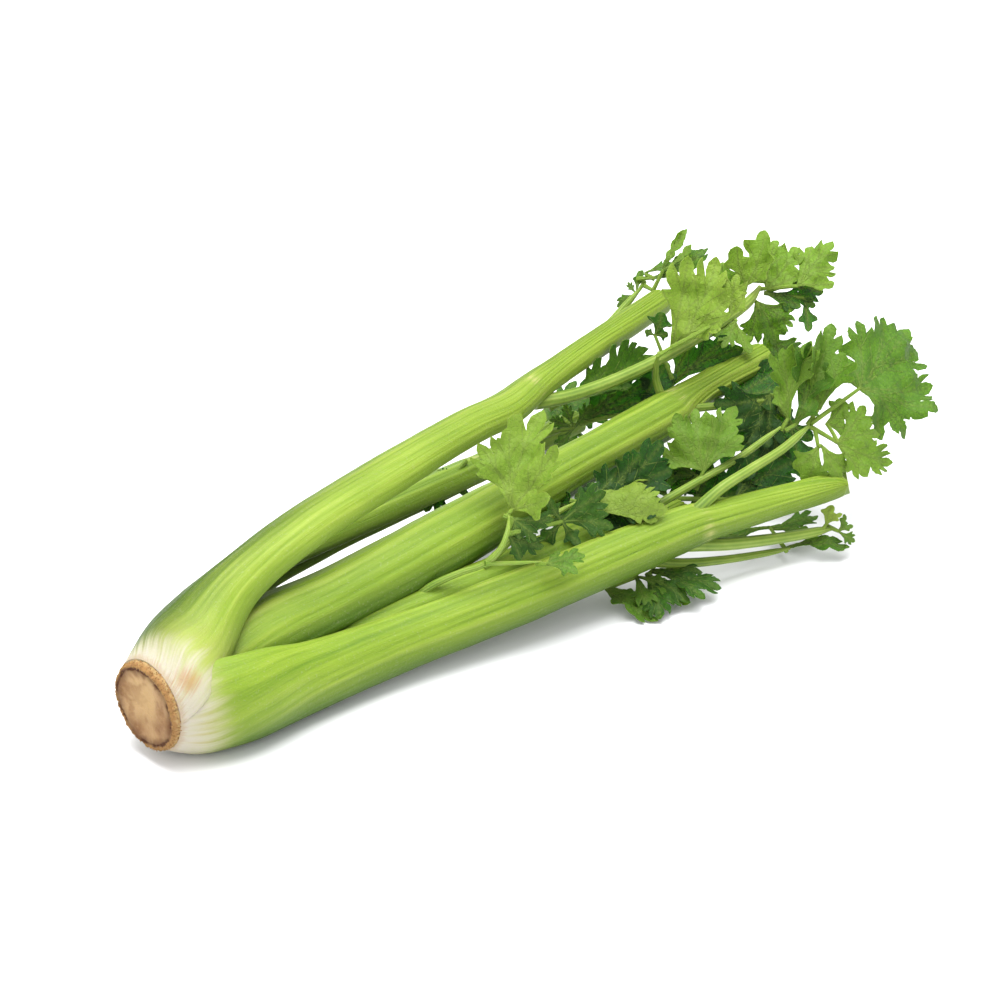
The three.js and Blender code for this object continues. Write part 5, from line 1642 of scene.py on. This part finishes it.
# %% Butt
BUTT_RADIUS = 18.0
BUTT_PROFILE = [            # distance from the axis as a part of the radius, and depth in mm
    (0.0, 1.5), (0.3, 1.4), (0.6, 1.0), (0.78, 0.6), (0.86, 0.6), (0.9, 0.95), (0.935, 0.4),
    (0.965, 0.25), (0.99, 0.6), (1.01, 1.3), (1.03, 2.3), (1.045, 3.8), (1.0, 5.5), (0.9, 8.0),
    (0.72, 14.0), (0.45, 29.0), (0.05, 41.5),
]
BUTT_POINT = 42.0           # how deep the butt ends between the stalks, mm
ROUGH_DEPTH = 3.0           # the face is rough up to this depth, mm
RIM_DEPTH = 5.0             # the rim ends at this depth, mm
RAGGED_DEPTH = 9.0          # and what is ragged about it has gone by this depth, mm
RIM_HALF = 0.1              # half the rim's width, as a part of its radius
BUTT_RINGS = 90
BUTT_SPOKES = 200
RAGGED = 0.05               # how far the rim wanders in and out, as a part of its radius
BEHIND_RIM = 1.15           # the number that the finish reads as skin behind the rim


def butt_mesh():
    """The butt's surface, with the radius that its finish and its flakes follow."""
    profile = np.array(BUTT_PROFILE)
    steps = np.linalg.norm(np.diff(profile * (BUTT_RADIUS, 1), axis=0), axis=1)
    far = np.concatenate([[0], np.cumsum(steps)])
    spots = np.interp(np.linspace(0, 1, BUTT_RINGS) ** 1.1 * far[-1], far, range(len(far)))
    smooth = np.column_stack([np.interp(spots, range(len(far)), profile[:, k]) for k in (0, 1)])
    points, numbers = [], []
    for part, depth in smooth[1:]:
        rim = 1 - (abs(part - 1.0) / RIM_HALF if depth < RIM_DEPTH else depth / RAGGED_DEPTH)
        rim = max(0.0, rim)
        for spoke in range(BUTT_SPOKES):
            angle = 2 * math.pi * spoke / BUTT_SPOKES
            y, z = math.cos(angle), math.sin(angle)
            probe = Vector((depth * 0.1, y * part * BUTT_RADIUS, z * part * BUTT_RADIUS))
            lump = noise.noise(probe * 0.16 + Vector((3, 1, 4)))
            rough = noise.noise(probe * 0.9) * 0.22 + noise.noise(probe * 2.2) * 0.12
            wander = noise.noise(probe * 0.8 + Vector((9, 2, 6))) + 0.7 * noise.noise(probe * 2.1)
            reach = part * BUTT_RADIUS * (1 + RAGGED * rim * wander)
            face = 1.0 if depth < ROUGH_DEPTH else 0.0
            relief_here = rough + 0.5 * lump - rim * 0.5 * noise.noise(probe * 1.3)
            points.append((depth + face * relief_here, y * reach, z * reach))
            numbers.append(part if depth < RIM_DEPTH else BEHIND_RIM)
    rings = len(points) // BUTT_SPOKES
    faces = ring_faces(rings, BUTT_SPOKES)
    heart, point = len(points), len(points) + 1
    points += [(BUTT_PROFILE[0][1], 0, 0), (BUTT_POINT, 0, 0)]
    numbers += [0.0, BEHIND_RIM]
    last = (rings - 1) * BUTT_SPOKES
    for i in range(BUTT_SPOKES):
        j = (i + 1) % BUTT_SPOKES
        faces.append((heart, j, i))
        faces.append((point, last + i, last + j))
    points = np.array(points) + (0, 0, AXIS_HEIGHT)
    return mesh_of("butt", place(points), faces, {"radius": numbers})


# %% [markdown]
# ## A crumbly rim by recipe
# Dry flakes stand along the rim. The recipe scatters points on the band where `radius` is close to 1 and
# puts a small flattened, turned flake on each.

# %% The rim recipe
SCATTER_SEED, TURN_SEED, SIZE_SEED = 3, 4, 5
FULL_TURN = 6.28
FLAKE_TONE = 0.97           # flakes take the colour of this radius


def rim_recipe():
    plan, geometry, given = recipe("rim", {
        "Inner": "Float", "Outer": "Float", "Flakes": "Float", "Flake size": "Float", "Skin": "Material",
    })
    radius = plan.carried("radius")
    outside = radius.maths("GREATER_THAN", radius, given["Inner"])
    band = outside * radius.maths("LESS_THAN", radius, given["Outer"])
    scatter = plan.node("GeometryNodeDistributePointsOnFaces", {}, {
        "Mesh": geometry, "Selection": band, "Density": given["Flakes"], "Seed": SCATTER_SEED,
    })
    flake = plan.node("GeometryNodeMeshIcoSphere", {}, {"Radius": given["Flake size"], "Subdivisions": 2})
    turn = plan.node("FunctionNodeRandomValue", {"data_type": "FLOAT_VECTOR"}, {
        "Min": (0, 0, 0), "Max": (FULL_TURN, FULL_TURN, FULL_TURN), "Seed": TURN_SEED,
    }, out=0)
    grow = plan.node("FunctionNodeRandomValue", {"data_type": "FLOAT_VECTOR"}, {
        "Min": (0.35, 0.3, 0.2), "Max": (1.3, 0.9, 0.5), "Seed": SIZE_SEED,
    }, out=0)
    flakes = plan.node("GeometryNodeInstanceOnPoints", {}, {
        "Points": scatter, "Instance": flake, "Rotation": turn, "Scale": grow,
    })
    flakes = plan.stored(flakes, "radius", FLAKE_TONE, "INSTANCE")
    both = plan.node("GeometryNodeJoinGeometry")
    for part in (geometry, flakes):
        plan.tree.links.new(part.socket, both.socket.node.inputs[0])
    return end_recipe(plan, both, given["Skin"])


RIM = rim_recipe()
rim_values = {"Inner": 0.93, "Outer": 1.05, "Flakes": 600000.0, "Flake size": 0.5 * MM, "Skin": BUTT}
mesh = cooked(butt_mesh(), RIM, rim_values)
finished("butt_face", mesh, "butt")
print("butt triangles:", triangles(mesh))
